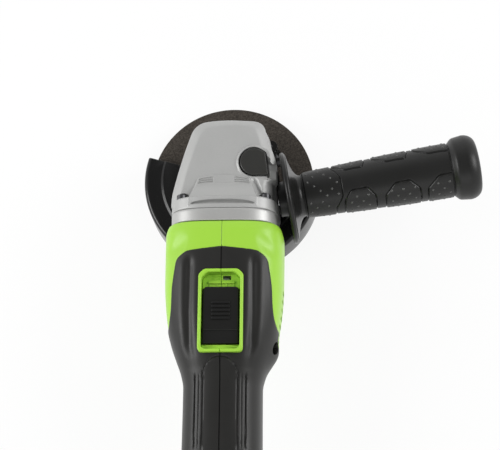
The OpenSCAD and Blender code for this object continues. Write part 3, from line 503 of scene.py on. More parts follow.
class Wiring:
    """Adds nodes to a shader tree one at a time, each linked to those before it."""

    def __init__(self, tree: bpy.types.NodeTree) -> None:
        """Works on a given tree."""
        self.tree = tree

    def add(self, kind: str, **inputs: object) -> bpy.types.Node:
        """Returns a new shader node with its inputs fed."""
        return self.feed(self.tree.nodes.new("ShaderNode" + kind), **inputs)

    def feed(self, node: bpy.types.Node, **inputs: object) -> bpy.types.Node:
        """Gives a node its inputs and returns it.

        Args:
            node: the node.
            inputs: by name with underscores for spaces, or by place as slot_0 and so on. A socket is
                linked, and anything else is set.

        Returns:
            the node.
        """
        for key, given in inputs.items():
            target = node.inputs[int(key[5:]) if key.startswith("slot_") else key.replace("_", " ")]
            if isinstance(given, bpy.types.NodeSocket):
                self.tree.links.new(given, target)
            else:
                target.default_value = given
        return node

    def maths(self, operation: str, *values: object, clamp: bool = False) -> bpy.types.NodeSocket:
        """Returns the result of a calculation on one to three values.

        Args:
            operation: the Math node's operation.
            values: sockets or numbers.
            clamp: whether the result is held between 0 and 1.

        Returns:
            the result's socket.
        """
        node = self.add("Math")
        node.operation, node.use_clamp = operation, clamp
        return self.feed(node, **{f"slot_{k}": v for k, v in enumerate(values)}).outputs[0]

    def plus(self, one: object, share: object, other: object, clamp: bool = False) -> bpy.types.NodeSocket:
        """Returns one value plus a share of another.

        Args:
            one: the first value.
            share: what the other is multiplied by.
            other: the other value.
            clamp: whether the result is held between 0 and 1.
        """
        return self.maths("ADD", one, self.maths("MULTIPLY", other, share), clamp=clamp)

    def minus(self, one: object, other: object) -> bpy.types.NodeSocket:
        """Returns the difference of two values."""
        return self.maths("SUBTRACT", one, other)

    def noise(self, vector: object, scale: object, detail: float, rough: float) -> bpy.types.NodeSocket:
        """Returns cloudy noise between 0 and 1."""
        return self.add("TexNoise", Vector=vector, Scale=scale, Detail=detail, Roughness=rough).outputs["Fac"]

    def stepped(self, value: object, low: float, high: float) -> bpy.types.NodeSocket:
        """Returns 0 below low, 1 above high, and a smooth rise between them.

        Args:
            value: a socket.
            low: where the rise starts.
            high: where the rise ends.

        Returns:
            the result's socket.
        """
        node = self.add("MapRange", slot_0=value, slot_1=low, slot_2=high)
        node.interpolation_type = "SMOOTHSTEP"
        return node.outputs[0]


def detail_group(pattern: Pattern) -> bpy.types.NodeTree:
    """Returns the node group of a kind of surface detail, made once.

    Every group turns a place, a colour, a roughness and their spreads into a colour, a roughness and a
    height. Broad clouds shade the colour, a fine grain gives the height, and a thresholded, stretched
    noise lays scuffs over both.

    Args:
        pattern: the kind of detail.

    Returns:
        the node group.
    """
    name = "detail of " + pattern.value
    if name in bpy.data.node_groups:
        return bpy.data.node_groups[name]
    w = Wiring(bpy.data.node_groups.new(name, "ShaderNodeTree"))
    for side, kind, keys in (
        ("INPUT", "NodeSocketVector", ["Vector"]),
        ("INPUT", "NodeSocketColor", ["Colour", "Worn"]),
        ("INPUT", "NodeSocketFloat", ["Roughness", "Spread", "Tone", "Scale", "Wear"]),
        ("OUTPUT", "NodeSocketColor", ["Colour"]),
        ("OUTPUT", "NodeSocketFloat", ["Roughness", "Height"]),
    ):
        for key in keys:
            w.tree.interface.new_socket(name=key, in_out=side, socket_type=kind)
    given = w.tree.nodes.new("NodeGroupInput").outputs
    place, scale = given["Vector"], given["Scale"]
    grain_place = place
    if pattern is Pattern.TURNED:
        x, y, z = w.add("SeparateXYZ", Vector=place).outputs
        radius = w.maths("SQRT", w.maths("ADD", w.maths("POWER", x, 2.0), w.maths("POWER", y, 2.0)))
        grain_place = w.add("CombineXYZ", X=radius, Y=0.0, Z=z).outputs[0]
    cloud = w.minus(w.noise(place, 42.0, 4, 0.6), 0.5)
    height = grain = w.noise(grain_place, scale, 2, 0.6)
    shade = cloud
    if pattern in (Pattern.RUBBER, Pattern.GRIT):
        cell = w.add("TexVoronoi", Vector=place, Scale=scale)
        bead = w.maths("MULTIPLY", w.minus(1.0, cell.outputs["Distance"]), 0.7)
        height = w.plus(bead, 0.5, grain)
        if pattern is Pattern.GRIT:
            speck = w.add("SeparateColor", Color=cell.outputs["Color"]).outputs[0]
            shade = w.plus(cloud, 1.6, w.minus(speck, 0.45))
    if pattern is Pattern.CAST:
        height = w.plus(grain, 1.5, w.noise(place, 260.0, 3, 0.5))
    if pattern in (Pattern.CAST, Pattern.TURNED, Pattern.BRUSHED):
        shade = w.plus(w.minus(grain, 0.5), 0.6 if pattern is Pattern.CAST else 0.4, cloud)
    if pattern is Pattern.WOUND:
        height = w.add("TexWave", Vector=place, Scale=scale, Distortion=1.5).outputs["Fac"]
        shade = w.maths("ADD", cloud, w.minus(height, 0.6))
    drawn_out = w.add("Mapping", Vector=place, Scale=(0.35, 1.6, 0.8), Rotation=(0.3, 0.2, 0.7)).outputs[0]
    scratch = w.stepped(w.noise(drawn_out, 520.0, 5, 0.68), 0.56, 0.74)
    patch = w.stepped(w.noise(place, 75.0, 3, 0.6), 0.52, 0.7)
    scuff = w.maths("MULTIPLY", w.maths("MULTIPLY", scratch, patch), given["Wear"], clamp=True)
    shaded, mixed = w.add("VectorMath"), w.add("Mix")
    shaded.operation, mixed.data_type = "SCALE", "RGBA"
    w.feed(shaded, slot_0=given["Colour"], Scale=w.plus(1.0, given["Tone"], shade))
    w.feed(mixed, slot_0=scuff, slot_6=shaded.outputs[0], slot_7=given["Worn"])
    rough = w.maths("MULTIPLY_ADD", cloud, given["Spread"], given["Roughness"])
    w.feed(w.tree.nodes.new("NodeGroupOutput"), Colour=mixed.outputs[2],
           Roughness=w.plus(rough, 0.25, scuff, clamp=True), Height=w.minus(height, w.maths("MULTIPLY", scuff, 0.4)))
    return w.tree


GREEN = Finish("lime_green_moulding", "green_plastic", Pattern.MOULDED, (0.325, 0.615, 0.05), 0.36, gloss=0.4,
               tone=0.06, size=0.5, depth=0.006, spread=0.1, wear=0.05, worn=(0.55, 0.8, 0.25))
BLACK = Finish("black_moulding", "black_plastic", Pattern.MOULDED, (0.0095, 0.0095, 0.009), 0.3, gloss=0.3, tone=0.14,
               size=0.45, depth=0.008, spread=0.12, wear=0.1, worn=(0.09, 0.09, 0.09))
GLOSS_BLACK = Finish("gloss_black_moulding", "black_plastic", Pattern.MOULDED, (0.008, 0.008, 0.008), 0.22, gloss=0.3,
                     tone=0.1, size=0.6, depth=0.004, wear=0.06, worn=(0.07, 0.07, 0.07))
LOCK = replace(GLOSS_BLACK, name="lock_moulding", colour=(0.03, 0.03, 0.028), roughness=0.26, worn=(0.09, 0.09, 0.09))
GRIP = Finish("charcoal_overmould", "grip_rubber", Pattern.RUBBER, (0.0125, 0.0122, 0.0112), 0.42, gloss=0.38,
              tone=0.16, size=0.42, depth=0.018, spread=0.14, wear=0.12, worn=(0.11, 0.105, 0.105))
HANDLE_GRIP = replace(GRIP, name="handle_rubber", colour=(0.0095, 0.0095, 0.009), roughness=0.38, gloss=0.34, size=0.5,
                      depth=0.012, spread=0.12, worn=(0.1, 0.1, 0.1))
# the studs are the grip's rubber painted about five times lighter: painted highlight for the sheen on their small
# domes, with real extra gloss
STUD_PAINTED_SHEEN = Finish("stud_rubber_painted_sheen", "grip_rubber", Pattern.MOULDED, (0.05, 0.05, 0.048), 0.25, gloss=0.6, tone=0.2,
              size=0.5, depth=0.004)
HEAD = Finish("cast_aluminium", "head_aluminium", Pattern.CAST, (0.42, 0.422, 0.415), 0.5, metallic=0.35,
              tone=0.2, size=0.45, depth=0.02, spread=0.12, wear=0.25, worn=(0.62, 0.62, 0.63))
PLATE = Finish("machined_aluminium", "plate_aluminium", Pattern.BRUSHED, (0.47, 0.47, 0.46), 0.46, metallic=0.6,
               tone=0.2, size=0.25, depth=0.003, spread=0.12, wear=0.2, worn=(0.6, 0.6, 0.6), stretch=(9, 1, 9))
GUARD = Finish("gloss_black_paint", "guard_steel", Pattern.CAST, (0.0055, 0.0055, 0.0055), 0.2, gloss=0.36,
               tone=0.1, size=0.9, depth=0.004, spread=0.08, wear=0.2, worn=(0.1, 0.1, 0.1))
ABRASIVE = Finish("bonded_grit", "abrasive", Pattern.GRIT, (0.052, 0.045, 0.038), 0.9, gloss=0.2, tone=0.5,
                  size=0.75, depth=0.22, spread=0.15, wear=0.1, worn=(0.2, 0.18, 0.16))
STEEL = Finish("ground_steel", "steel", Pattern.TURNED, (0.55, 0.55, 0.57), 0.26, metallic=1.0,
               tone=0.14, size=0.3, depth=0.004, spread=0.1, wear=0.1, worn=(0.35, 0.35, 0.35))
DARK_STEEL = Finish("blackened_steel", "dark_steel", Pattern.MOULDED, (0.09, 0.09, 0.095), 0.38, metallic=0.9,
                    tone=0.2, size=0.35, depth=0.008, spread=0.12, wear=0.35, worn=(0.3, 0.3, 0.31))
GEAR = Finish("hardened_steel", "gear_steel", Pattern.BRUSHED, (0.36, 0.36, 0.38), 0.32, metallic=1.0,
              tone=0.25, size=0.3, depth=0.006, wear=0.2, worn=(0.55, 0.55, 0.57), stretch=(1, 1, 6))
GREY = Finish("grey_moulding", "grey_plastic", Pattern.MOULDED, (0.16, 0.16, 0.165), 0.42, tone=0.1,
              size=0.5, depth=0.01, wear=0.08)
MAGNET = Finish("ferrite", "magnet", Pattern.CAST, (0.07, 0.07, 0.075), 0.6, metallic=0.2, tone=0.2)
COPPER = Finish("enamelled_copper", "copper", Pattern.WOUND, (0.58, 0.2, 0.075), 0.28, metallic=1.0,
                tone=0.5, size=1.2, depth=0.3, wear=0.0)
BRASS = Finish("stamped_brass", "brass", Pattern.BRUSHED, (0.72, 0.52, 0.2), 0.3, metallic=1.0, tone=0.15,
               size=0.3, depth=0.005, stretch=(1, 6, 1))
BRONZE = Finish("sintered_bronze", "bronze", Pattern.CAST, (0.52, 0.3, 0.13), 0.45, metallic=1.0, tone=0.2)
CARBON = Finish("pressed_carbon", "carbon", Pattern.MOULDED, (0.035, 0.035, 0.04), 0.55, tone=0.2)
CELL_WRAP = Finish("shrink_wrap", "cell_wrap", Pattern.MOULDED, (0.03, 0.22, 0.26), 0.3, tone=0.1, depth=0.01)

# What each CAD node that is shown as it is looks like.
NODE_FINISHES = {
    node: finish
    for finish, nodes in (
        (PLATE, "bearing_plate"), (HEAD, "gear_case bearing_cap"), (MAGNET, "motor_magnets armature_core"),
        (GREY, "brush_plate air_baffle cooling_fan slider_link pack_latch_left pack_latch_right"),
        (BRASS, "brush_holders battery_terminals pack_contacts"), (CARBON, "carbon_brushes"),
        (BLACK, "power_switch switch_slider handle_core pack_front_shell pack_rear_shell"),
        (GREEN, "housing_left housing_right"), (GRIP, "grip_cover_left grip_cover_right"), (BRONZE, "spindle_bush"),
        (GEAR, "crown_gear pinion"), (DARK_STEEL, "inner_flange lock_nut guard_clamp_bolt guard_clamp_pin"),
        (ABRASIVE, "grinding_wheel"), (COPPER, "armature_windings commutator"), (GUARD, "guard_shell guard_band"),
        (GLOSS_BLACK, "guard_lever"), (LOCK, "lock_button"), (HANDLE_GRIP, "handle_grip"), (CELL_WRAP, "pack_cells"),
    )
    for node in nodes.split()
}


def node_finish(node: str) -> Finish:
    """Returns the finish of a CAD node; screws go by the end of their names, and what isn't listed is steel."""
    return NODE_FINISHES.get(node, DARK_STEEL if node.endswith("screws") else STEEL)


# ------------------------------------------------------------------ pieces


def piece(name: str, surface: Surface, finish: Finish, body: str = "tool", weld: float = 0.002) -> bpy.types.Object:
    """Makes an object of a surface, closes its seams and poles, and lets it ride on a body.

    Args:
        name: the piece's name.
        surface: its points and quads, in millimetres.
        finish: what its surface looks like.
        body: the CAD body that it moves with.
        weld: points closer than this become one, in millimetres.

    Returns:
        the object, dressed and on its body.
    """
    mesh = bpy.data.meshes.new(name)
    mesh.vertices.add(len(surface.points))
    mesh.vertices.foreach_set("co", (surface.points * MM).astype(np.float32).ravel())
    mesh.loops.add(surface.quads.size)
    mesh.loops.foreach_set("vertex_index", surface.quads.astype(np.int32).ravel())
    mesh.polygons.add(len(surface.quads))
    mesh.polygons.foreach_set("loop_start", np.arange(0, surface.quads.size, 4, dtype=np.int32))
    mesh.update(calc_edges=True)
    work = bmesh.new()
    work.from_mesh(mesh)
    bmesh.ops.remove_doubles(work, verts=work.verts, dist=weld * MM)
    bmesh.ops.dissolve_degenerate(work, edges=work.edges, dist=weld * MM * 0.1)
    bmesh.ops.recalc_face_normals(work, faces=work.faces)
    work.to_mesh(mesh)
    work.free()
    return dressed(name, mesh, finish, body)


def smooth(mesh: bpy.types.Mesh) -> None:
    """Shades a mesh smoothly, with its edges sharp past 35 degrees."""
    mesh.polygons.foreach_set("use_smooth", np.ones(len(mesh.polygons), bool))
    mesh.set_sharp_from_angle(angle=math.radians(35))


def dressed(name: str, mesh: bpy.types.Mesh, finish: Finish, body: str) -> bpy.types.Object:
    """Makes an object of a finished mesh and lets it ride on a body.

    Args:
        name: the piece's name.
        mesh: its mesh, in metres.
        finish: what its surface looks like.
        body: the CAD body that it moves with.

    Returns:
        the object.
    """
    smooth(mesh)
    mesh.materials.clear()
    mesh.materials.append(finish.material())
    made = bpy.data.objects.new(name, mesh)
    bpy.context.scene.collection.objects.link(made)
    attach(made, body)
    LOG.info("%s: %d faces on %s", name, len(mesh.polygons), body)
    return made


def filed(made: bpy.types.Object, finish: Finish, *nodes: str) -> bpy.types.Object:
    """Hides the CAD nodes that a piece stands in for, and returns the piece.

    Args:
        made: the piece.
        finish: its finish; not used.
        nodes: the CAD nodes that it stands for.

    Returns:
        the piece.
    """
    if nodes:
        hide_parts(*nodes)
    return made


def combined(made: bpy.types.Object, operation: str, tool: bpy.types.Object) -> bpy.types.Object:
    """Joins a piece with a tool, takes the tool out of it, or keeps what both share, and returns the piece.

    Args:
        made: the piece, a closed mesh.
        operation: UNION, DIFFERENCE or INTERSECT.
        tool: the other closed mesh, which is used up.

    Returns:
        the piece, with its new mesh.
    """
    step = made.modifiers.new("shape", "BOOLEAN")
    step.operation, step.solver, step.object = operation, "MANIFOLD", tool
    bpy.context.view_layer.update()
    mesh = bpy.data.meshes.new_from_object(made.evaluated_get(bpy.context.evaluated_depsgraph_get()))
    made.modifiers.clear()
    old, made.data = made.data, mesh
    for spent in (old, tool.data):
        bpy.data.meshes.remove(spent)
    smooth(mesh)
    return made


def cut_out(made: bpy.types.Object, *cutters: Surface) -> bpy.types.Object:
    """Takes closed shapes out of a piece and returns it; the new faces get the piece's first material.

    Args:
        made: the piece, a closed mesh.
        cutters: the closed shapes to take away, clear of each other.

    Returns:
        the piece, with its new mesh.
    """
    tool = piece("cutter", merged(*cutters), GREEN, weld=0.001)
    tool.data.materials.clear()
    return combined(made, "DIFFERENCE", tool)


def softened(node: str, edge: float) -> bpy.types.Object:
    """Replaces a CAD node by a copy of itself with its edges rounded.

    The copy's loose triangles are merged, flat faces are made whole, and its sharp edges get a bevel.

    Args:
        node: the CAD node.
        edge: width of the rounding, in millimetres.

    Returns:
        the new object.
    """
    source = FRAME["nodes"][node]
    mesh = source.data.copy()
    work = bmesh.new()
    work.from_mesh(mesh)
    bmesh.ops.remove_doubles(work, verts=work.verts, dist=2e-6)
    bmesh.ops.dissolve_limit(work, angle_limit=math.radians(1), verts=work.verts, edges=work.edges)
    work.to_mesh(mesh)
    work.free()
    if mesh.has_custom_normals:
        mesh.normals_split_custom_set([(0, 0, 0)] * len(mesh.loops))
    made = dressed(node + "_moulded", mesh, node_finish(node), body_of(source)[0])
    bevel = made.modifiers.new("edges", "BEVEL")
    bevel.width, bevel.segments, bevel.limit_method = edge * MM, 2, "ANGLE"
    bevel.angle_limit, bevel.harden_normals = math.radians(32), False
    bevel.use_clamp_overlap = True
    return filed(made, node_finish(node), node)


# ------------------------------------------------------------------ motor housing


@dataclass
class Housing:
    """The two green halves of the motor housing and the soft grip moulded over them."""

    front: float = 50.0
    tail: float = 236.0
    wall: float = 2.8
    grip_in: float = 1.6
    grip_out: float = 0.5
    seam: float = 0.5
    grip_seam: float = 0.35
    # height down to which the outline of the grip's top reaches
    grip_low: float = 68.0
    # distance behind the spindle, half width, top, bottom, squareness
    sections: tuple[tuple[float, ...], ...] = (
        (50, 37.6, 90.6, 29.6, 3.5), (57, 39.3, 91.8, 28.6, 3.4), (88, 39.2, 92.0, 28.6, 3.3),
        (104, 38.3, 92.0, 29.0, 3.2), (121, 36.0, 91.4, 30.6, 3.0), (131, 33.4, 90.8, 32.6, 2.8),
        (140, 30.2, 89.8, 34.8, 2.7), (149, 27.0, 87.8, 36.8, 2.6), (158, 25.4, 86.6, 37.8, 2.6),
        (203, 25.6, 86.4, 37.6, 2.8), (214, 29.0, 88.6, 33.0, 3.2), (225, 34.8, 92.6, 24.6, 3.9),
        (236, 38.0, 96.0, 16.0, 4.6),
    )
    # outline of the grip's top, as half width and distance behind the spindle
    grip_plan: Outline = (
        (0, 68.2), (23.5, 70.8), (30, 75.6), (31.2, 83), (32.8, 94), (33.2, 109), (34.8, 118), (38.6, 125), (44, 131),
        (44, 203.5),
    )
    # outline of the grip round the waist, as distance behind the spindle and height
    grip_side: Outline = (
        (112, 99), (118, 78), (127, 67.5), (139.5, 55), (150, 18), (203.5, 18), (203.5, 99),
    )
    # open pockets of the housing's screws: depth, height, half width at the screw's head
    screws: tuple[tuple[float, float, float], ...] = (
        (60, 35.2, 22), (146.5, 43.5, 14), (222, 31, 17), (222, 87.1, 20),
    )
    # blind recess in the right flank: depth, height, half width at its bottom, radius
    recess: tuple[float, float, float, float] = (132.0, 70.5, 27.6, 4.2)
    # the boss round it: depth, height, how far it stands out
    boss_at: tuple[float, float, float] = (134.0, 62.0, 3.3)
    pocket_r: float = 3.3
    cup_wall: float = 1.3
    # height of the battery stem's axis
    stem_z: float = 62.1
    window_front: float = 83.7
    window_w: float = 29.4
    window_l: float = 55.2
    window_rim: float = 2.1
    vents: int = 7
    vent_pitch: float = 5.6

    def section(self, depth: Array, around: Array) -> Array:
        """Points of the body's right half at some depths, spaced evenly along each section's outline.

        A section is a squarish oval, and its sizes run smoothly from one given depth to the next.

        Args:
            depth: distances behind the spindle.
            around: shares of the way from the top seam to the bottom seam, 0 to 1.

        Returns:
            depths by shares by 3.
        """
        half_w, top, bottom, power = (size[:, None] for size in self.sizes(depth))
        turn = np.pi / 2 * np.sin(np.linspace(-1, 1, 1600) * np.pi / 2)[None, ::-1]
        across, up = superellipse(half_w, (top - bottom) / 2, power, turn)
        up += (top + bottom) / 2
        length = np.hypot(np.diff(across, axis=1), np.diff(up, axis=1)).cumsum(1)
        length = np.concatenate([np.zeros((len(depth), 1)), length], 1)
        rows = []
        for k, run in enumerate(length):
            want = around * run[-1]
            rows.append(np.stack([np.interp(want, run, across[k]), np.full(len(want), -depth[k]),
                                  np.interp(want, run, up[k])], -1))
        return np.stack(rows)

    def sizes(self, depth: Array) -> list[Array]:
        """The body's half width, top, bottom and squareness at some depths."""
        table = np.array(self.sections)
        return [hermite(table[:, 0], table[:, k], depth) for k in range(1, 5)]

    def normals(self, points: Array) -> Array:
        """Outward normals of a grid of points of the right half; none leans across the seam.

        Args:
            points: rows by columns by 3.

        Returns:
            unit vectors, rows by columns by 3.
        """
        along, round_ = np.gradient(points, axis=0), np.gradient(points, axis=1)
        normal = np.cross(round_, along)
        normal[:, [0, -1], 0] = 0
        normal /= np.linalg.norm(normal, axis=2, keepdims=True)
        outwards = points - np.array([0, 0, 60]) - points * [0, 1, 0]
        return normal * np.where((normal * outwards).sum(-1, keepdims=True) < 0, -1, 1)

    def grip_distance(self, points: Array) -> Array:
        """Signed distance to the grip's outline, negative inside: the nearer of its top and its waist.

        Args:
            points: rows by columns by 3.

        Returns:
            the distances, rows by columns.
        """
        x, depth, z = points[..., 0], -points[..., 1], points[..., 2]
        plan = np.array(self.grip_plan)
        plan = np.concatenate([plan, plan[:0:-1] * [-1, 1]])
        top = outline_distance(x, depth, plan)
        top = np.where(z > self.grip_low, top, np.hypot(np.maximum(top, 0), self.grip_low - z))
        return np.minimum(top, outline_distance(depth, z, np.array(self.grip_side)))

    def window_outline(self, grow: float) -> Array:
        """The window's outline in plan, anticlockwise, with chamfered front corners and rounded rear ones.

        Args:
            grow: how far it stands outside the frame's outline.

        Returns:
            the outline's points.
        """
        w, front, rear = self.window_w / 2 + grow, grow - self.window_front, -self.window_front - self.window_l - grow
        corners = [(-w, rear), (w, rear), (w, front - 3.6), (w - 3.6, front), (3.6 - w, front), (-w, front - 3.6)]
        return rounded(corners, [3.6, 3.6, 1.6, 1.6, 1.6, 1.6], 6)

    def half(self, rows: Array, around: Array, outer: Array | float, inner: float, gap: float = 0.1) -> Surface:
        """A closed shell over part of the right half.

        Args:
            rows: depths of the grid's rows.
            around: shares of the way round of its columns.
            outer: how far its outside stands off the body.
            inner: how far its inside stands off the body.
            gap: how far it stays clear of the seam.

        Returns:
            the shell.
        """
        points = self.section(rows, around)
        normal = self.normals(points)
        faces = []
        for amount in (outer, inner):
            face = points + normal * np.broadcast_to(amount, points.shape[:2])[..., None]
            face[:, [0, -1], 0] = gap
            face[..., 0] = np.maximum(face[..., 0], gap)
            faces.append(face)
        return grid(faces[0]).with_inside(faces[1])

    def shares(self, count: int) -> Array:
        """Column places: two thirds of them on the upper third, and a few close to the seams.

        Args:
            count: about how many.

        Returns:
            rising shares of the way round, 0 to 1.
        """
        upper = np.linspace(0, 0.36, int(count * 0.62))
        lower = np.linspace(0.36, 1, count - len(upper) + 1)[1:]
        close = np.array([0.0, 0.001, 0.0022, 0.004])
        return np.unique(np.concatenate([upper, lower, close, 1 - close]))

    def depths(self, low: float, high: float, step: float) -> Array:
        """Row places: even, with a few close to both ends for the rounded rims.

        Args:
            low: the first depth.
            high: the last depth.
            step: the distance between rows.

        Returns:
            rising depths.
        """
        close = np.array([0.0, 0.15, 0.45, 0.9])
        even = np.arange(low, high, step)
        return np.unique(np.concatenate([even[even < high - 0.5], low + close, high - close]))

    def corner_scoops(self, points: Array) -> Array:
        """Depth of the scooped recesses beside the grip's front corners: (1 - a^2 - b^2)^1.6 in a slanted oval.

        Args:
            points: rows by columns by 3.

        Returns:
            rows by columns.
        """
        x, depth = np.abs(points[..., 0]) - 29.6, -points[..., 1] - 67.2
        # along and across the grip's chamfered corner
        along, across = (x * 0.65 + depth * 0.76) / 10.5, (x * 0.76 - depth * 0.65) / 5.4
        return np.where(points[..., 2] > 62, np.clip(1 - along**2 - across**2, 0, 1) ** 1.6, 0)

    def boss(self, depth: Array, z: Array) -> Array:
        """Height of the soft boss round the blind recess, which only the right flank has: h e^(-a^2 - b^2).

        Args:
            depth: distances behind the spindle.
            z: heights.

        Returns:
            heights, shaped like z.
        """
        middle, middle_z, height = self.boss_at
        reach = np.where(depth < middle, 9.0, 10.0)
        return height * np.exp(-(((depth - middle) / reach) ** 2) - ((z - middle_z) / 11) ** 2)

    def grip_relief(self, points: Array) -> Array:
        """Ridges, valleys, the arch behind the window and the grooves of the soft grip, as a height.

        Args:
            points: rows by columns by 3.

        Returns:
            rows by columns.
        """
        x, depth, z = np.abs(points[..., 0]), -points[..., 1], points[..., 2]
        upper = smooth_step(70, 80, z)
        # soft valley along each side of the window's frame, with a low ridge outside it
        path = np.interp(depth, [70, 84, 112, 134, 150], [20.6, 20.8, 21.0, 20.2, 16.5])
        fade = smooth_step(72, 82, depth) * (1 - smooth_step(130, 150, depth))
        ridge, valley = np.exp(-(((x - path - 5.0) / 2.8) ** 2)), np.exp(-(((x - path) / 2.4) ** 2))
        relief = (0.45 * ridge - 1.25 * valley) * fade * upper
        # two straight grooves along the waist's top
        waist = smooth_step(150.5, 154, depth) * (1 - smooth_step(196, 202, depth)) * upper
        relief -= groove(x - 16.3, 0.7, 0.9) * waist + groove(x - 13.6, 0.5, 0.3) * waist
        # tongue behind the window, with an arched front and a crisp step round it
        arch = 141.6 + 9.6 * (1 - np.sqrt(np.clip(1 - (x / 10.5) ** 2, 0, 1)))
        edge = np.minimum(depth - arch, 10.5 - x)
        tongue = 0.7 * smooth_step(-0.3, 0.3, edge) - groove(edge + 0.75, 0.7, 0.5)
        return relief + tongue * upper * (1 - smooth_step(196, 203, depth))

    def clipped(self, name: str, shell: Surface) -> bpy.types.Object:
        """Keeps what a shell shares with two prisms, one upright over the grip's top and one across its waist.

        Args:
            name: the piece's name.
            shell: a closed shell over one half.

        Returns:
            the clipped piece.
        """
        plan = np.array(self.grip_plan)
        outline = np.concatenate([plan * [1, -1], (plan * [-1, -1])[:0:-1]])[::-1]
        reach = [3.4, 4.0, 4.0, 6, 8, 6, 5, 4, 0.5]
        top = cutting_slab(rounded(outline, [*reach, *reach[::-1], 0.5], 6), self.grip_low, 118)
        waist = cutting_slab(rounded(self.grip_side, [1, 9, 10, 8, 1, 1, 1], 6), -60, 60)
        waist.points = waist.points[:, [2, 0, 1]] * [1, -1, 1]
        top, waist = piece("grip_top", top, GRIP), piece("grip_waist", waist, GRIP)
        return combined(piece(name, shell, GRIP), "INTERSECT", combined(top, "UNION", waist))

    def build(self) -> None:
        """Makes both halves and both parts of the grip."""
        rows, around = self.depths(self.front, self.tail, 1.0), self.shares(130)
        points = self.section(rows, around)
        rim = fillet(-points[..., 1] - self.front, 1.6) + fillet(self.tail + points[..., 1], 1.2)
        outer = -fillet(np.abs(points[..., 0]), self.seam) - self.corner_scoops(points) - rim
        cover_rows = self.depths(60, 206, 0.62)
        cover_points = self.section(cover_rows, around)
        cover_outer = self.grip_out - fillet(-self.grip_distance(cover_points), 0.9) * 0.75
        cover_outer += self.grip_relief(cover_points)
        cover_outer -= fillet(np.abs(cover_points[..., 0]), self.grip_seam)
        cover_outer = np.maximum(cover_outer, -1.2)
        seat = self.half(cover_rows, around, 4.0, -self.grip_in - 0.05)
        window = cutting_slab(self.window_outline(-self.window_rim), 80, 100)
        frame = cutting_slab(self.window_outline(0.1), 80, 104)
        for side, word in ((1, "right"), (-1, "left")):
            bulge, cover_bulge = (self.boss(-p[..., 1], p[..., 2]) * (side > 0) for p in (points, cover_points))
            pockets = self.pocket_cutters() if side > 0 else []
            shell = self.half(rows, around, outer + bulge, -self.wall)
            green = piece(f"housing_shell_{word}", shell.on_side(side), GREEN)
            combined(green, "DIFFERENCE", self.clipped(f"seat_{word}", seat.on_side(side)))
            cut_out(green, window, *self.vent_cutters(side), *pockets[1:])
            filed(green, GREEN, f"housing_{word}")
            cover = self.half(cover_rows, around, cover_outer + cover_bulge, -self.grip_in, 0.36)
            grip = self.clipped(f"soft_grip_{word}", cover.on_side(side))
            filed(cut_out(grip, frame, *pockets[:1], *pockets[2:]), GRIP, f"grip_cover_{word}")
        wells = merged(*[self.cup((*screw, self.pocket_r + 0.02), 4.6, 1.4, 1.3) for screw in self.screws[:3]])
        # the cup lining the blind recess is black: painted shade that darkens the recess
        recess_shade_cup = self.cup(self.recess, self.recess[3] + self.cup_wall, 1.0, 0.6, on_boss=True)
        # the black strips under the grip's seam are painted shadow in its gap
        for name, surface, finish in (("screw_wells", wells, GREEN), ("tail_socket", self.socket(), GREEN),
                                      ("seam_painted_shadow", self.strips(), BLACK), ("recess_shade_cup", recess_shade_cup, BLACK)):
            filed(piece(name, surface, finish), finish)

    def strips(self) -> Surface:
        """Black strips under the grip's seam, in front of the window, behind it and along the underside: painted shadow
        that darkens the seam's gap.

        Returns:
            the painted shadow strips as one surface.
        """
        made = []
        for start, end, share, sign in ((69.2, 83.4, 0.0, 1), (139.4, 202.6, 0.0, 1), (151, 202.6, 1.0, -1)):
            line = self.section(np.linspace(start, end, 90), np.array([share]))[:, 0]
            corners = ((-0.4, -0.45), (-0.4, -1.3), (0.4, -1.3), (0.4, -0.45))
            body = np.stack([line + [x, 0, z * sign] for x, z in corners], 1)
            ends = [np.broadcast_to(body[k].mean(0), (1, 4, 3)) for k in (0, -1)]
            made.append(grid(np.concatenate([ends[0], body, ends[1]]), wrap_cols=True))
        return merged(*made)

    def pocket_cutters(self) -> list[Surface]:
        """Closed cylinders across the right flank: the blind recess, the seat of its cup, the screws' pockets.

        Returns:
            the cylinders in that order.
        """
        depth, z, bottom, r = self.recess
        cutters = []
        for depth, z, head, r in ((depth, z, bottom, r), (depth, z, bottom, r + self.cup_wall + 0.02),
                                  *[(*screw, self.pocket_r) for screw in self.screws]):
            drill = lathe([(0, head), (r, head), (r, 60), (0, 60)], 48)
            cutters.append(Surface(drill.points[:, [2, 0, 1]] + [0, -depth, z], drill.quads))
        return cutters

    def surface_x(self, depth: Array, z: Array) -> Array:
        """Half width of the body: w (1 - s^p)^(1/p), s being the share of its half height.

        Args:
            depth: distances behind the spindle.
            z: heights.

        Returns:
            half widths, shaped like z.
        """
        half_w, top, bottom, power = self.sizes(depth)
        share = np.clip(np.abs(z - (top + bottom) / 2) / ((top - bottom) / 2), 0, 0.99)
        return half_w * (1 - share**power) ** (1 / power)

    def cup(self, hole: tuple[float, float, float, float], outer_r: float, base: float, under: float,
            on_boss: bool = False) -> Surface:
        """A cup across the right flank, whose mouth follows the body's surface from inside.

        Args:
            hole: depth and height of its middle, half width at its bottom, and inner radius.
            outer_r: its outer radius.
            base: thickness of its bottom.
            under: how far its mouth lies under the body's surface.
            on_boss: whether that surface has the boss.

        Returns:
            the closed cup.
        """
        depth, z, bottom, inner_r = hole
        turn = np.linspace(0, 2 * np.pi, 48, endpoint=False)
        rings = []
        for r, level in ((0, bottom - base), (outer_r, bottom - base), (outer_r, None), (inner_r, None),
                         (inner_r, bottom), (0, bottom)):
            d, up = depth + r * np.cos(turn), z + r * np.sin(turn)
            x = self.surface_x(d, up) + on_boss * self.boss(d, up) - under if level is None else np.full(48, level)
            rings.append(np.column_stack([x, -d, up]))
        return tube(rings)

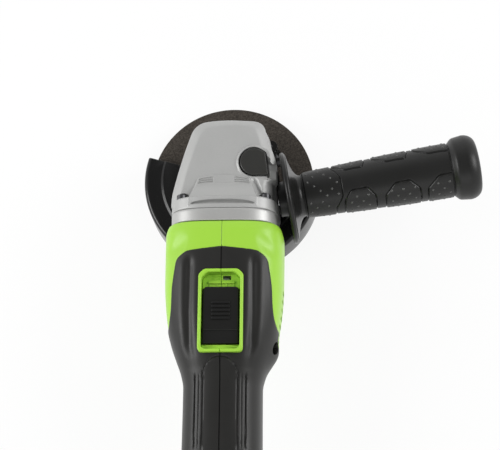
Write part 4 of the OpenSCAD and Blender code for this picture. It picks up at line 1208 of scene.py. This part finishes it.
    def socket(self) -> Surface:
        """The wall across the tail, the squarish socket of the pack's stem and the latches' two keepers.

        The socket's radius at an angle a is (|cos a / w|^2.6 + |sin a / h|^2.6)^(-1/2.6).

        Returns:
            all of them as one surface.
        """
        half = self.section(np.array([219.0]), np.linspace(0, 1, 80))[0][:, [0, 2]]
        outer = inward(np.concatenate([half * [-1, 1], half[-2:0:-1]]), 2.5) - [0, self.stem_z]
        turn = np.arctan2(outer[:, 1], outer[:, 0])
        loops = []
        for w, h in ((22.22, 21.12), (24.0, 22.9)):
            reach = (np.abs(np.cos(turn) / w) ** 2.6 + np.abs(np.sin(turn) / h) ** 2.6) ** (-1 / 2.6)
            loops.append(np.column_stack([np.cos(turn), np.sin(turn)]) * reach[:, None])
        inner, collar = loops
        rings = []
        for plan, depth in ((outer, 220.4), (inner * 1.03, 220.4), (inner, 219.4), (inner, 188), (collar, 188),
                            (collar, 218), (outer, 218)):
            rings.append(np.column_stack([plan[:, 0], np.full(len(plan), -depth), plan[:, 1] + self.stem_z]))
        keepers = [slab(oblong(left, left + 2.1, -232, -229.5, 0.3, 3), 54, 70, 0.3, 3) for left in (-34.2, 32.1)]
        return merged(grid(np.stack(rings), wrap_rows=True, wrap_cols=True), *keepers)

    def vent_cutters(self, side: int) -> list[Surface]:
        """Closed shapes of the air slots in one flank, with round ends.

        Args:
            side: 1 for the right flank, -1 for the left.

        Returns:
            the shapes, from front to rear.
        """
        slots = []
        for k in range(self.vents):
            depth = 93.2 + self.vent_pitch * k
            slot = cutting_slab(oblong(49.8, 66.2, depth - 1.2, depth + 1.2, 1.1, 5), 30, 44)
            slots.append(Surface(slot.points[:, [2, 1, 0]] * [side, -1, 1], slot.quads))
        return slots


# ------------------------------------------------------------------ gear head


@dataclass
class GearHead:
    """The cast gear case with its hood and flange, the polished ring behind it and the spindle lock."""

    floor: float = 36.0
    top: float = 82.0
    count: int = 420
    flange_front: float = 33.0
    flange_rear: float = 41.5
    ring_rear: float = 50.0
    half_w: float = 35.8
    half_h: float = 31.0
    lock_at: tuple[float, float] = (20.0, -7.4)
    lock_r: float = 9.5
    pocket_gap: float = 0.75
    # the plan at the top of the sides, from the right rear round the nose, with a block beside the lock button
    sides: Outline = (
        (32.3, -37.5), (32.2, -28), (32.0, -20.6), (35.5, -18.6), (35.3, -9.0), (34.3, -4.6), (31.6, 3.0), (28.7, 10.4),
        (25.7, 23.2), (0, 24.9), (-20.4, 22.8), (-27.2, 2.4), (-31.6, -13.5), (-35.3, -29), (-35.6, -37.5),
    )
    # its first corners low on the right flank, where the handle's boss widens it
    boss_corners: Outline = ((35.4, -37.5), (35.3, -28), (35.3, -20.6), (35.6, -18.6))
    # the edge of the level top, inside the bevel
    top_edge: Outline = (
        (25.6, -37.5), (25.6, -28), (25.4, -20.6), (26.4, -18.6), (26.8, -9.0), (26.6, -4.6), (24.6, 3.0), (22.2, 9.6),
        (19.4, 18.0), (0, 18.9), (-14.4, 16.9), (-20.2, 0.4), (-24.8, -14.6), (-28.2, -29), (-28.5, -37.5),
    )

    def plan(self, corners: Outline, nose: tuple[float, float, float] = (7.2, 9, 9)) -> Array:
        """A plan of the head with rounded corners, as evenly spaced points.

        Args:
            corners: its corners, from the right rear round the nose.
            nose: how far the arcs of the nose's three corners reach.
        """
        reach = [1.5, 3, 1.6, 1.6, 1.5, 2.5, 3, 3, *nose, 6, 6, 4, 1.5]
        return resampled(rounded(corners, reach, 9), self.count)

    def level(self, x: Array, y: Array) -> Array:
        """Height of the head's top: flat, with a low crown, and a slanted channel and strip at the hood's right.

        Args:
            x: places across the head.
            y: places along it.

        Returns:
            heights, shaped like x.
        """
        back = -y - 18.0
        beside = x - self.hood_w(back)
        strip, channel = smooth_step(3.4, 4.6, beside), np.exp(-(((beside - 1.9) / 1.5) ** 2))
        crown = 0.7 * (1 - (x / 30) ** 2 - ((y + 8) / 34) ** 2)
        return self.top + crown + (0.4 * strip - 1.9 * channel) * smooth_step(-1, 3, back)

    def hood_w(self, back: Array) -> Array:
        """Half width of the hood at a distance behind its front."""
        return 17.6 + 0.4 * np.maximum(back, 0)

    def hood(self) -> Surface:
        """The hood before the flange, laid out along its own slightly arched front and its slanted sides.

        It starts with a low step, carries three short grooves at each side, steps up again and then climbs
        to the rear. Its walls round off by the distance to the nearest side.

        Returns:
            the closed hood.
        """
        rim = 2.4
        edge = np.array([0, 0.1, 0.25, 0.45, 0.7, 1.0, 1.4, 1.9, rim])
        back = np.concatenate([np.linspace(0, 6, 61), np.linspace(6.3, 15.8, 28)])[:, None]
        width = self.hood_w(back)
        inner = np.linspace(-0.88, 0.88, 96) * (width - rim) / 0.88 * 0.97
        x = np.hstack([-width + edge, inner, width - edge[::-1]])
        back = back + 0 * x
        y = 2.4 * (1 - (x / width) ** 2) * (1 - back / 17.5) ** 2 - 18.6 - back
        near = width - np.abs(x)
        rise = 0.9 + 0.55 * smooth_step(4.7, 5.3, back) + 4.2 * smooth_step(5.0, 17, back)
        wall = 1 - fillet(near, 1) * np.clip(1 - near, 0, 1) ** 0.2
        height = rise * np.clip(wall, 0, 1) * (1 - fillet(back, 0.6) / 0.6)
        grooved = smooth_step(6.8, 7.4, np.abs(x)) * smooth_step(1.4, 2.0, near)
        for k in range(3):
            height -= groove(back - 1.25 - 1.25 * k, 0.5, 0.7) * grooved
        base = self.level(x, y)
        return grid(np.stack([x, y, base - 0.05 + height], -1)).with_inside(np.stack([x, y, base - 1.6], -1))

    def bezel(self) -> Surface:
        """A crescent-shaped lip round the left of the lock button's pocket, highest at its middle.

        Returns:
            the closed lip.
        """
        inner, outer = self.lock_plan(self.pocket_gap), self.lock_plan(2.7)
        share = np.array([0, 0.06, 0.14, 0.26, 0.4, 0.55, 0.7, 0.85, 1.0])[:, None]
        plan = inner + (outer - inner) * share[..., None]
        angle = np.degrees(np.arctan2(plan[..., 1] - self.lock_at[1], plan[..., 0] - self.lock_at[0])) % 360
        window = smooth_step(52, 96, angle) * (1 - smooth_step(196, 236, angle))
        rise = 1.35 * window * (1 - share**2) * np.sqrt(np.clip(share / 0.14, 0, 1))
        base = self.level(plan[..., 0], plan[..., 1])
        return grid(np.dstack([plan, base - 0.06 + rise]), wrap_cols=True).with_inside(np.dstack([plan, base - 1.4]))

    def head(self) -> Surface:
        """The case: rings up its sides, over its bevelled edge and in to the middle of its top.

        The rings of the sides lead from the skirt's outline to the upper one, those of the bevel lead on to
        the top's outline, and those of the top shrink towards the middle. Each point near the top then rises
        to the level there.

        Returns:
            the closed case.
        """
        skirt = self.plan(self.boss_corners + self.sides[len(self.boss_corners) :])
        side, top = self.plan(self.sides), self.plan(self.top_edge, (5.4, 8, 8))
        nose = smooth_step(-14, 20, side[:, 1])
        rings = []
        # height, how far the nose grows and how far it moves ahead, share of the skirt's outline
        for z, grow, ahead, wide in (
            (self.floor, 1.5, 2.6, 1), (44, 1.5, 2.6, 1), (52, 1.1, 2.0, 1), (60, 0.6, 1.2, 1), (66, 0.2, 0.6, 0.9),
            (69, 0.1, 0.4, 0.45), (71.5, 0, 0.2, 0.08), (75.4, 0, 0, 0),
        ):
            moved = inward(side + (skirt - side) * wide, -grow * nose) + np.outer(nose * ahead, [0, 1])
            rings.append(lifted(moved, z))
        for share, z in ((0.015, 76.4), (0.05, 77.2), (0.12, 78.0), (0.24, 78.9), (0.4, 79.9), (0.56, 80.7),
                         (0.7, 81.3), (0.82, 81.7), (0.92, 81.92), (1.0, self.top)):
            rings.append(lifted(side + (top - side) * share, z))
        middle = np.array([0.0, -8.0, self.top])
        cap = middle + (rings[-1] - middle)[None] * np.linspace(1, 0, 46)[1:, None, None]
        bottom = np.stack([rings[0] * [0, 0, 1] + [0, -6, 0], rings[0] * [0.5, 0.5, 1] + [0, -3, 0]])
        points = np.concatenate([bottom, np.stack(rings), cap])
        fade = smooth_step(77.0, 81.2, points[..., 2])
        points[..., 2] += (self.level(points[..., 0], points[..., 1]) - self.top) * fade
        return grid(points, wrap_cols=True)

    def notches(self) -> list[Surface]:
        """Closed shapes of the stepped notch between the button and the right flank, with a slanted front wall.

        Returns:
            the front part of the notch and the rear one.
        """
        made = []
        # front edge, height at the inner side, and the lid's two front corners
        for front, rear, z, lid in ((-7.4, -12.9, 77.4, [(25.6, 1.4), (39, -9.6)]),
                                    (-12.8, -18.9, 78.8, [(28.8, -12.8), (39, -12.8)])):
            base = np.array([(28.8, front, z), (39, front, z - 1.8), (39, rear, z - 1.8), (28.8, rear, z)])
            top = lifted(np.array([*lid, (39, rear), (28.8, rear)]), 84.0)
            made.append(tube([np.broadcast_to(base.mean(0), (4, 3)), base, top, np.broadcast_to(top.mean(0), (4, 3))]))
        return made

    def lock_plan(self, grow: float) -> Array:
        """The lock button's plan: round on its left, square on its right, with a slanted side.

        Args:
            grow: how far it stands outside the button's own plan.

        Returns:
            the plan's points.
        """
        x, y = self.lock_at
        turn = np.radians(np.linspace(62, 270, 40))
        arc = np.column_stack([np.cos(turn), np.sin(turn)]) * self.lock_r + self.lock_at
        corners = [(x, y - self.lock_r), (x + 9.9, y - self.lock_r), (x + 7.6, y + 6.4), (x + 4.8, y + 8.4)]
        square = rounded(corners, [0.1, 1.0, 1.0, 0.1], 5)[5:15]
        return resampled(inward(resampled(np.concatenate([arc, square]), 96), -grow), 96)

    def oval(self, levels: list[tuple[float, float]], count: int = 420) -> Array:
        """Rings of the flange's squarish oval about the motor's axis.

        Args:
            levels: pairs of distance behind the spindle and growth.
            count: number of points round the axis.

        Returns:
            levels by count by 3, about Z.
        """
        lean = np.linspace(0, 2 * np.pi, 4000, endpoint=False)
        plan = resampled(np.column_stack(superellipse(self.half_w, self.half_h, 3.4, lean)), count)
        rings = [lifted(inward(plan, -grow), depth) for depth, grow in levels]
        first, last = (lifted(plan * 0.0, levels[k][0]) for k in (0, -1))
        return np.stack([first, *rings, last])

    def flange(self) -> Surface:
        """The case's flange, with a crescent-shaped scoop in its top between two fine beads.

        The crescent's front edge is arched and its rear edge is nearly straight; between them the scoop's
        depth follows sin^0.6.

        Returns:
            the flange on the motor's axis.
        """
        a, b = self.flange_front, self.flange_rear
        levels = [(a, -1.6), (a + 0.12, -0.9), (a + 0.5, -0.35), (a + 1.1, 0)]
        levels += [(depth, 0.0) for depth in np.arange(a + 1.4, b - 1, 0.15)]
        levels += [(b - 0.7, 0), (b - 0.3, -0.15), (b - 0.08, -0.4), (b, -0.9)]
        points = self.oval(levels, count=960)
        x, up, depth = np.abs(points[..., 0]), points[..., 1], points[..., 2]
        half = np.sqrt(1 - np.clip(x / 21.2, 0, 1) ** 2)
        low, high = a + 5.2 - 2.6 * half, a + 5.75 - 0.35 * half
        across = np.clip((depth - low) / (high - low), 0, 1)
        crescent = np.where(across > 0, 2.9 * np.sqrt(half) * np.sin(np.pi * across) ** 0.6, 0)
        slope = smooth_step(a + 0.4, a + 5.0, depth) * (1 - smooth_step(high - 0.2, high + 0.5, depth))
        beaded = smooth_step(a, a + 1.2, depth) * (1 - smooth_step(b - 2.0, b - 1.2, depth))
        bead = 0.35 * np.exp(-(((x - 22.6) / 0.4) ** 2)) * beaded
        points[..., 1] += np.where(up > 10, bead - crescent - 0.8 * half * slope, 0)
        return on_motor_axis(grid(points, wrap_cols=True))

    def ring(self) -> Surface:
        """The polished ring between the case and the motor housing, with its rims broken.

        Returns:
            the ring on the motor's axis.
        """
        a, b = self.flange_rear, self.ring_rear
        levels = [(a, -1.4), (a + 0.1, -0.75), (a + 0.4, -0.25), (a + 0.9, 0)]
        levels += [(depth, 0.0) for depth in np.arange(a + 2, b - 1, 1)] + [(b - 0.4, 0), (b, -0.3)]
        return on_motor_axis(grid(self.oval(levels), wrap_cols=True))

    def build(self) -> None:
        """Makes the case, its flange, the ring and the lock button."""
        case = piece("gear_case_head", self.head(), HEAD)
        cut_out(case, cutting_slab(self.lock_plan(self.pocket_gap), 72, 90))
        for notch in self.notches():
            cut_out(case, notch)
        well = lathe([(0, 76.8), (4.3, 76.8), (4.3, 96), (0, 96)], 48)
        well.points *= [1, 0.62, 1]
        cut_out(case, *[well.moved([x, -31.4, 0]) for x in (-27.0, 27.6)])
        screw = lathe([(0, 31.6), (1.5, 31.2), (1.7, 30.2), (2.9, 30.2), (3.3, 30.7), (3.3, 36.4), (2.1, 36.5),
                       (2.1, 53), (0, 54)], 40)
        screws = merged(*[on_motor_axis(screw.moved([x, up, 0])) for x in (-28, 28) for up in (-21.5, 21.5)])
        filed(piece("case_cap_screws", screws, DARK_STEEL), DARK_STEEL, "gear_case_screws")
        hood = piece("gear_case_hood", self.hood(), HEAD)
        bezel = piece("lock_bezel", self.bezel(), HEAD)
        for notch in self.notches():
            cut_out(bezel, notch)
        for made in (case, piece("gear_case_flange", self.flange(), HEAD), hood, bezel):
            filed(made, HEAD, "gear_case")
        filed(piece("polished_ring", self.ring(), PLATE), PLATE, "bearing_plate")
        # the cap's stem is narrow, so that it dips into the spring's coil
        stem = lathe([(0, 77), (3.4, 77), (3.7, 77.3), (3.7, 82), (0, 82)], 40)
        stem = stem.moved([self.lock_at[0] + 1.6, self.lock_at[1] - 1, 0])
        cap = merged(slab(self.lock_plan(-0.1), 81.6, 84, 1.0, 6), stem)
        filed(piece("lock_button_cap", cap, LOCK, "spindle_lock"), LOCK, "lock_button")


# ------------------------------------------------------------------ auxiliary handle


@dataclass
class SideHandle:
    """The screwed handle: a guard disc with a flared neck, and a grip with raised studded pads."""

    axis: Axis = Axis((35.2, -26.4, 58.0), (math.cos(math.radians(9.7)), math.sin(math.radians(9.7)), 0))
    disc_r: float = 31.3
    columns: int = 288
    pad_height: float = 0.5
    groove_depth: float = 0.65
    grip_from: float = 17.0
    # where the bulb's round end starts, and how long that is
    bulb_from: float = 128.2
    bulb_length: float = 8.2
    # pads along the handle: near row then far row, each as start, apex start, apex end, end
    near_pads: tuple[tuple[float, ...], ...] = (
        (42.9, 48.4, 60.0, 66.6), (70.4, 78.2, 88.6, 96.6), (99.0, 107.6, 121.0, 126.0),
    )
    far_pads: tuple[tuple[float, ...], ...] = (
        (37.6, 46.6, 58.6, 62.4), (64.6, 74.6, 88.0, 91.6), (92.8, 103.0, 118.0, 126.0),
    )

    def radius(self, t: Array) -> Array:
        """Plain radius of the grip at a distance from the seat: a slow taper, a groove, a bulb.

        Args:
            t: distances from the seat.

        Returns:
            radii, shaped like t.
        """
        table = np.array([(17, 14.4), (18, 14.9), (40, 16.0), (80, 17.5), (112, 18.1), (116.5, 18.1), (118.2, 18.3),
                          (119.4, 19.4), (120.6, 20.5), (121.6, 21.0), (122.8, 21.2), (125, 21.5), (128.2, 21.9)])
        body = hermite(table[:, 0], table[:, 1], np.minimum(t, self.bulb_from))
        past = np.clip(t - self.bulb_from, 0, self.bulb_length) / self.bulb_length
        return np.where(t > self.bulb_from, 15.4 + 6.5 * np.sqrt(np.clip(1 - past**2, 0, 1)), body)

    def pad_distance(self, t: Array, turn: Array) -> Array:
        """Signed distance to the nearest pad's outline, or to the studded collar's, in millimetres.

        Args:
            t: distance from the seat.
            turn: angle round the handle from the top, towards the nose, in degrees.

        Returns:
            distances, shaped like t.
        """
        nearest = np.full(t.shape, 99.0)
        unit = math.radians(1) * 16.4
        for row, centre, top in ((self.near_pads, -90, 65.0), (self.far_pads, 90, 60.0)):
            across = np.abs((turn - centre + 180) % 360 - 180) * unit
            for start, apex_a, apex_b, end in row:
                corners = [(start, -40), (start + 0.8, 40 * unit), (apex_a, top * unit), (apex_b, (top + 1.5) * unit),
                           (end - 2.0, 44 * unit), (end, -40)]
                nearest = np.minimum(nearest, outline_distance(t, across, rounded(corners, 1.0, 4)))
        # collar of studs beside the neck, with a stepped edge
        lean = np.abs((turn + 10 + 90) % 180 - 90)
        return np.minimum(nearest, np.maximum(t - 43 + 5.5 * smooth_step(20, 62, lean), 17.6 - t))

    def studs(self) -> Surface:
        """The small domed studs on the pads, on a staggered lattice that is thinned out on the collar.

        Returns:
            the studs as one surface, about Z.
        """
        dome = lathe([(0.8, -0.4), (0.78, 0), (0.6, 0.2), (0.32, 0.32), (0, 0.36)], 12)
        dome = merged(dome, grid(np.stack([dome.points[:12] * [0, 0, 1], dome.points[:12]]), wrap_cols=True))
        t, turn = np.meshgrid(np.arange(20.8, 116, 3.9), np.arange(-180, 180, 27.7), indexing="ij")
        row, column = np.indices(t.shape)
        turn = turn + 13.8 * (row % 2)
        kept = (self.pad_distance(t, turn) < -1.3) & ((t > 43) | ((row + column) % 3 > 0))
        domes = []
        for place, angle in zip(t[kept], np.radians(turn[kept])):
            out, side = np.array([[math.cos(angle), -math.sin(angle), 0], [-math.sin(angle), -math.cos(angle), 0]])
            r = float(self.radius(np.array([place]))[0]) + self.pad_height * 0.8
            frame = np.stack([np.array([0, 0, 1.0]), side, out])
            domes.append(Surface(dome.points @ frame + out * r + [0, 0, place], dome.quads))
        return merged(*domes)

    def grip(self) -> Surface:
        """The grip: radius as a function of place along and round it, closed at both ends.

        Returns:
            the closed grip, about Z.
        """
        t = np.concatenate([np.linspace(self.grip_from, 123, 262), np.linspace(123.4, self.bulb_from, 14)[1:],
                            self.bulb_from + self.bulb_length * np.sin(np.linspace(0, np.pi / 2, 14))[1:]])
        t, turn = np.meshgrid(t, np.linspace(-180, 180, self.columns, endpoint=False), indexing="ij")
        distance = self.pad_distance(t, turn)
        free = (1 - smooth_step(116.6, 117.4, t)) * smooth_step(17.2, 18.0, t)
        r = self.radius(t)
        r += free * self.pad_height * (1 - smooth_step(-0.9, -0.35, distance)) * 0.8
        r -= free * groove(distance, 0.6, self.groove_depth)
        r -= groove(t - 117.6, 0.7, 0.6)
        angle = np.radians(turn)
        points = np.stack([r * np.cos(angle), -r * np.sin(angle), t], -1)
        ends = [np.zeros((1, self.columns, 3)) + [0, 0, z] for z in (self.grip_from, 136.6)]
        return grid(np.concatenate([ends[0], points, ends[1]]), wrap_cols=True)

    def neck(self) -> Surface:
        """The hub, the guard disc with a rounded rim and the flare that runs down to the grip.

        Returns:
            the closed neck, about Z.
        """
        profile = [(0, 0), (11.4, 0), (12, 0.5), (12, 5.2), (26, 5.4)]
        profile += [(self.disc_r - 1.7 + 1.7 * math.cos(a), 7.1 + 1.7 * math.sin(a))
                    for a in np.linspace(-np.pi / 2, np.pi / 2, 9)]
        profile += [(13.9 + 15.6 * (1 - (t - 9.3) / 8.1) ** 2.6, t) for t in np.linspace(9.3, 17.4, 16)]
        return lathe([*profile, (0, 17.4)], 192)

    def build(self) -> None:
        """Makes the neck, the grip and its studs."""
        for name, surface, finish, node in (
            ("handle_neck", self.neck(), BLACK, "handle_core"),
            ("handle_soft_grip", self.grip(), HANDLE_GRIP, "handle_grip"),
            ("handle_studs", self.studs(), STUD_PAINTED_SHEEN, "handle_grip"),
        ):
            filed(piece(name, self.axis.place(surface), finish, "side_handle"), finish, node)


# ------------------------------------------------------------------ switch


@dataclass
class Switch:
    """The sliding switch, and the green frame and ledges of the window that it slides in."""

    front: float = 95.4
    length: float = 37.6
    half_w: float = 11.5
    base_z: float = 83.3
    top: float = 91.0
    ribs: int = 5
    rib_pitch: float = 2.6
    step: float = 29.0
    frame_base: float = 84.0
    frame_shoulder: float = 92.3
    frame_edge: float = 0.9
    floor_z: float = 85.5
    seam: float = 0.2

    def button(self) -> Surface:
        """The button: a cap with a lower rear step, finger ribs, a stem under it and the base it slides on.

        Returns:
            its closed shapes as one surface.
        """
        rear, front, w = -self.front - self.length, -self.front, self.half_w
        reach = [1.2, 1.2, 2.6, 2.6]
        body = slab(oblong(-w, w, rear, front, reach, 7), 88.2, self.top - 0.7, 0.6, 5)
        crown = slab(oblong(-w, w, front - self.step, front, reach, 7), self.top - 1.6, self.top, 0.7, 5)
        stem = slab(oblong(1 - w, w - 1, rear + 1, -103.2, 1, 4), 84.6, 89, 0.2, 2)
        base = slab(oblong(-13.6, 13.6, front - 42.2, front + 4.8, 1, 4), self.base_z, self.base_z + 2, 0.3, 3)
        ribs = []
        for k in range(self.ribs):
            y = front - 10.8 - self.rib_pitch * k
            ribs.append(slab(oblong(-5.9, 5.9, y - 0.7, y + 0.7, 0.3, 3), self.top - 0.5, self.top + 0.95, 0.25, 3))
        return merged(body, crown, stem, base, *ribs)

    def frame(self, housing: Housing) -> Surface:
        """The window's frame: a closed ring whose section is upright with a rounded top edge.

        Args:
            housing: the housing, which sets the window's outline.

        Returns:
            the closed ring.
        """
        rings = []
        for outline, way in ((housing.window_outline(0.0), 1), (housing.window_outline(-housing.window_rim), -1)):
            wall = [lifted(outline, self.frame_base)]
            for a in np.linspace(0, np.pi / 2, 5):
                bent = inward(outline, way * self.frame_edge * (1 - math.cos(a)))
                wall.append(lifted(bent, self.frame_shoulder + self.frame_edge * math.sin(a)))
            rings += wall[::way]
        return grid(np.stack(rings), wrap_rows=True, wrap_cols=True)

    def floor(self) -> Surface:
        """The green floor at the window's front, with its bar and posts.

        Returns:
            its closed shapes as one surface.
        """
        corners = [(-12.3, -95.8), (12.3, -95.8), (12.3, -89.3), (9.0, -86.1), (-9.0, -86.1), (-12.3, -89.3)]
        bar = slab(oblong(-8.8, 8.8, -92.6, -90.9, 0.5, 4), 86.4, 87.8, 0.4, 4)
        posts = [slab(oblong(x - 0.5, x + 0.5, -95.6, -92, 0.2, 3), 86.2, 87.3, 0.2, 3)
                 for x in (-7.6, -2.6, 3.2, 8.0)]
        return merged(slab(rounded(corners, 0.4, 3), self.floor_z, 86.8, 0.2, 3), bar, *posts)

    def build(self, housing: Housing) -> None:
        """Makes the slider, the window's frame, its floor and its rear ledge.

        Args:
            housing: the housing that the window is in.
        """
        filed(piece("switch_button", self.button(), BLACK, "switch"), BLACK, "switch_slider")
        frame = filed(piece("window_frame", self.frame(housing), GREEN), GREEN)
        floor = filed(piece("window_floor", self.floor(), GREEN), GREEN)
        holes = [cutting_slab(oblong(left, right, -90.0, -87.0, 0.4, 3), low, 90)
                 for left, right, low in ((0.9, 6.2, 80), (-6.4, -0.7, 86.0))]
        cut_out(floor, *holes, cutting_slab(oblong(-0.22, 0.22, -99, -80, 0.02, 2), 85.9, 100))
        ledge = slab(oblong(-12.3, 12.3, -136.6, -133.6, 0.4, 3), self.floor_z, 89.5, 0.8, 4)
        filed(piece("window_ledge", ledge, GREEN), GREEN)
        cut_out(frame, cutting_slab(oblong(-self.seam, self.seam, -150, -80, 0.02, 2), 70, 100))


# ------------------------------------------------------------------ studio and scene


def white_for_rays(w: Wiring) -> bpy.types.NodeSocket:
    """Tells rays that see the white background apart from the rest.

    Args:
        w: the wiring of the shader.

    Returns:
        a socket that is 1 for camera, glossy and transmission rays, and else 0.
    """
    rays = w.add("LightPath").outputs
    seen = w.maths("MAXIMUM", rays["Is Camera Ray"], rays["Is Glossy Ray"])
    return w.maths("MAXIMUM", seen, rays["Is Transmission Ray"])


def paper() -> bpy.types.Material:
    """The floor's pale paper, which shows as white where the background is seen and keeps the shadow.

    Returns:
        the material.
    """
    made = bpy.data.materials.new("paper")
    made.use_nodes = True
    w = Wiring(made.node_tree)
    shader = w.feed(w.tree.nodes["Principled BSDF"], Base_Color=(0.9, 0.9, 0.9, 1), Roughness=0.9)
    glow = w.add("Emission", Color=(1, 1, 1, 1))
    share = w.maths("MULTIPLY", white_for_rays(w), 0.9)
    blend = w.add("MixShader", slot_0=share, slot_1=shader.outputs[0], slot_2=glow.outputs[0])
    w.feed(w.tree.nodes["Material Output"], Surface=blend.outputs[0])
    return made


def camera() -> None:
    """The camera, which looks down on the tool, tilted towards its tail and rolled by a fraction of a degree."""
    scene = bpy.context.scene
    lens = bpy.data.cameras.new("camera")
    lens.sensor_width, lens.lens = 36.0, 122.8
    lens.clip_start, lens.clip_end = 0.05, 20
    target, distance, roll = Vector((12.493, -29.338, 10.4)) * MM, 1.2, math.radians(0.647)
    back = Vector((0.07056, -0.29175, 0.95389)).normalized()
    right = Vector((0, 1, 0)).cross(back).normalized()
    up = back.cross(right)
    turned = (right * math.cos(roll) + up * math.sin(roll), up * math.cos(roll) - right * math.sin(roll), back)
    holder = bpy.data.objects.new("camera", lens)
    holder.matrix_world = Matrix.Translation(target + back * distance) @ Matrix(turned).transposed().to_4x4()
    scene.collection.objects.link(holder)
    scene.camera = holder


def studio() -> None:
    """Camera, lamps, pale floor and white background."""
    scene = bpy.context.scene
    scene.view_settings.view_transform = "Standard"
    camera()
    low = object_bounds()[0].z - 0.0005
    plane = bpy.data.meshes.new("floor")
    plane.from_pydata([(-6, -6, low), (6, -6, low), (6, 6, low), (-6, 6, low)], [], [(0, 1, 2, 3)])
    plane.materials.append(paper())
    floor = bpy.data.objects.new("floor", plane)
    scene.collection.objects.link(floor)
    floor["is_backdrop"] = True
    scene.world = bpy.data.worlds.new("studio")
    scene.world.use_nodes = True
    w = Wiring(scene.world.node_tree)
    # bright round the horizon and dim overhead, like a light tent with an opening for the camera
    way = w.add("SeparateXYZ", slot_0=w.add("TexCoord").outputs["Generated"])
    level = w.add("MapRange", Value=way.outputs["Z"], From_Min=0.45, From_Max=0.98, To_Min=0.95, To_Max=0.24)
    level.interpolation_type = "SMOOTHSTEP"
    w.feed(w.tree.nodes["Background"], Color=(1, 1, 1, 1), Strength=level.outputs[0])
    for name, place, size, power in (
        ("key", (-1.15, -0.1, 0.8), 0.7, 10.0),
        ("fill", (1.1, 0.2, 0.8), 0.6, 8.0),
        ("front", (0.1, -1.3, 0.9), 0.6, 1.0),
    ):
        lamp = bpy.data.lights.new(name, "AREA")
        lamp.shape, lamp.size, lamp.energy = "SQUARE", size, power
        stand = bpy.data.objects.new(name, lamp)
        stand.location, stand.rotation_mode = place, "QUATERNION"
        stand.rotation_quaternion = (Vector((0, -0.06, 0.05)) - Vector(place)).to_track_quat("-Z", "Y")
        scene.collection.objects.link(stand)


def dress_nodes() -> None:
    """Gives every CAD node its finish."""
    for name, node in FRAME["nodes"].items():
        material = node_finish(name).material()
        if not node.material_slots:
            node.data.materials.append(material)
        for slot in node.material_slots:
            slot.material = material


def soften_nodes() -> None:
    """Rounds the edges of the CAD nodes that are shown as they are and can be seen from outside."""
    for name, edge in (("pack_front_shell", 0.4), ("pack_rear_shell", 0.5), ("pack_latch_left", 0.3),
                       ("pack_latch_right", 0.3), ("lock_nut", 0.3), ("guard_lever", 0.3), ("guard_shell", 0.25)):
        softened(name, edge)


def main() -> None:
    """Builds the grinder's looks around its frame."""
    FRAME.update(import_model())
    dress_nodes()
    housing = Housing()
    housing.build()
    Switch().build(housing)
    GearHead().build()
    SideHandle().build()
    soften_nodes()
    studio()


if __name__ == "__main__":
    main()
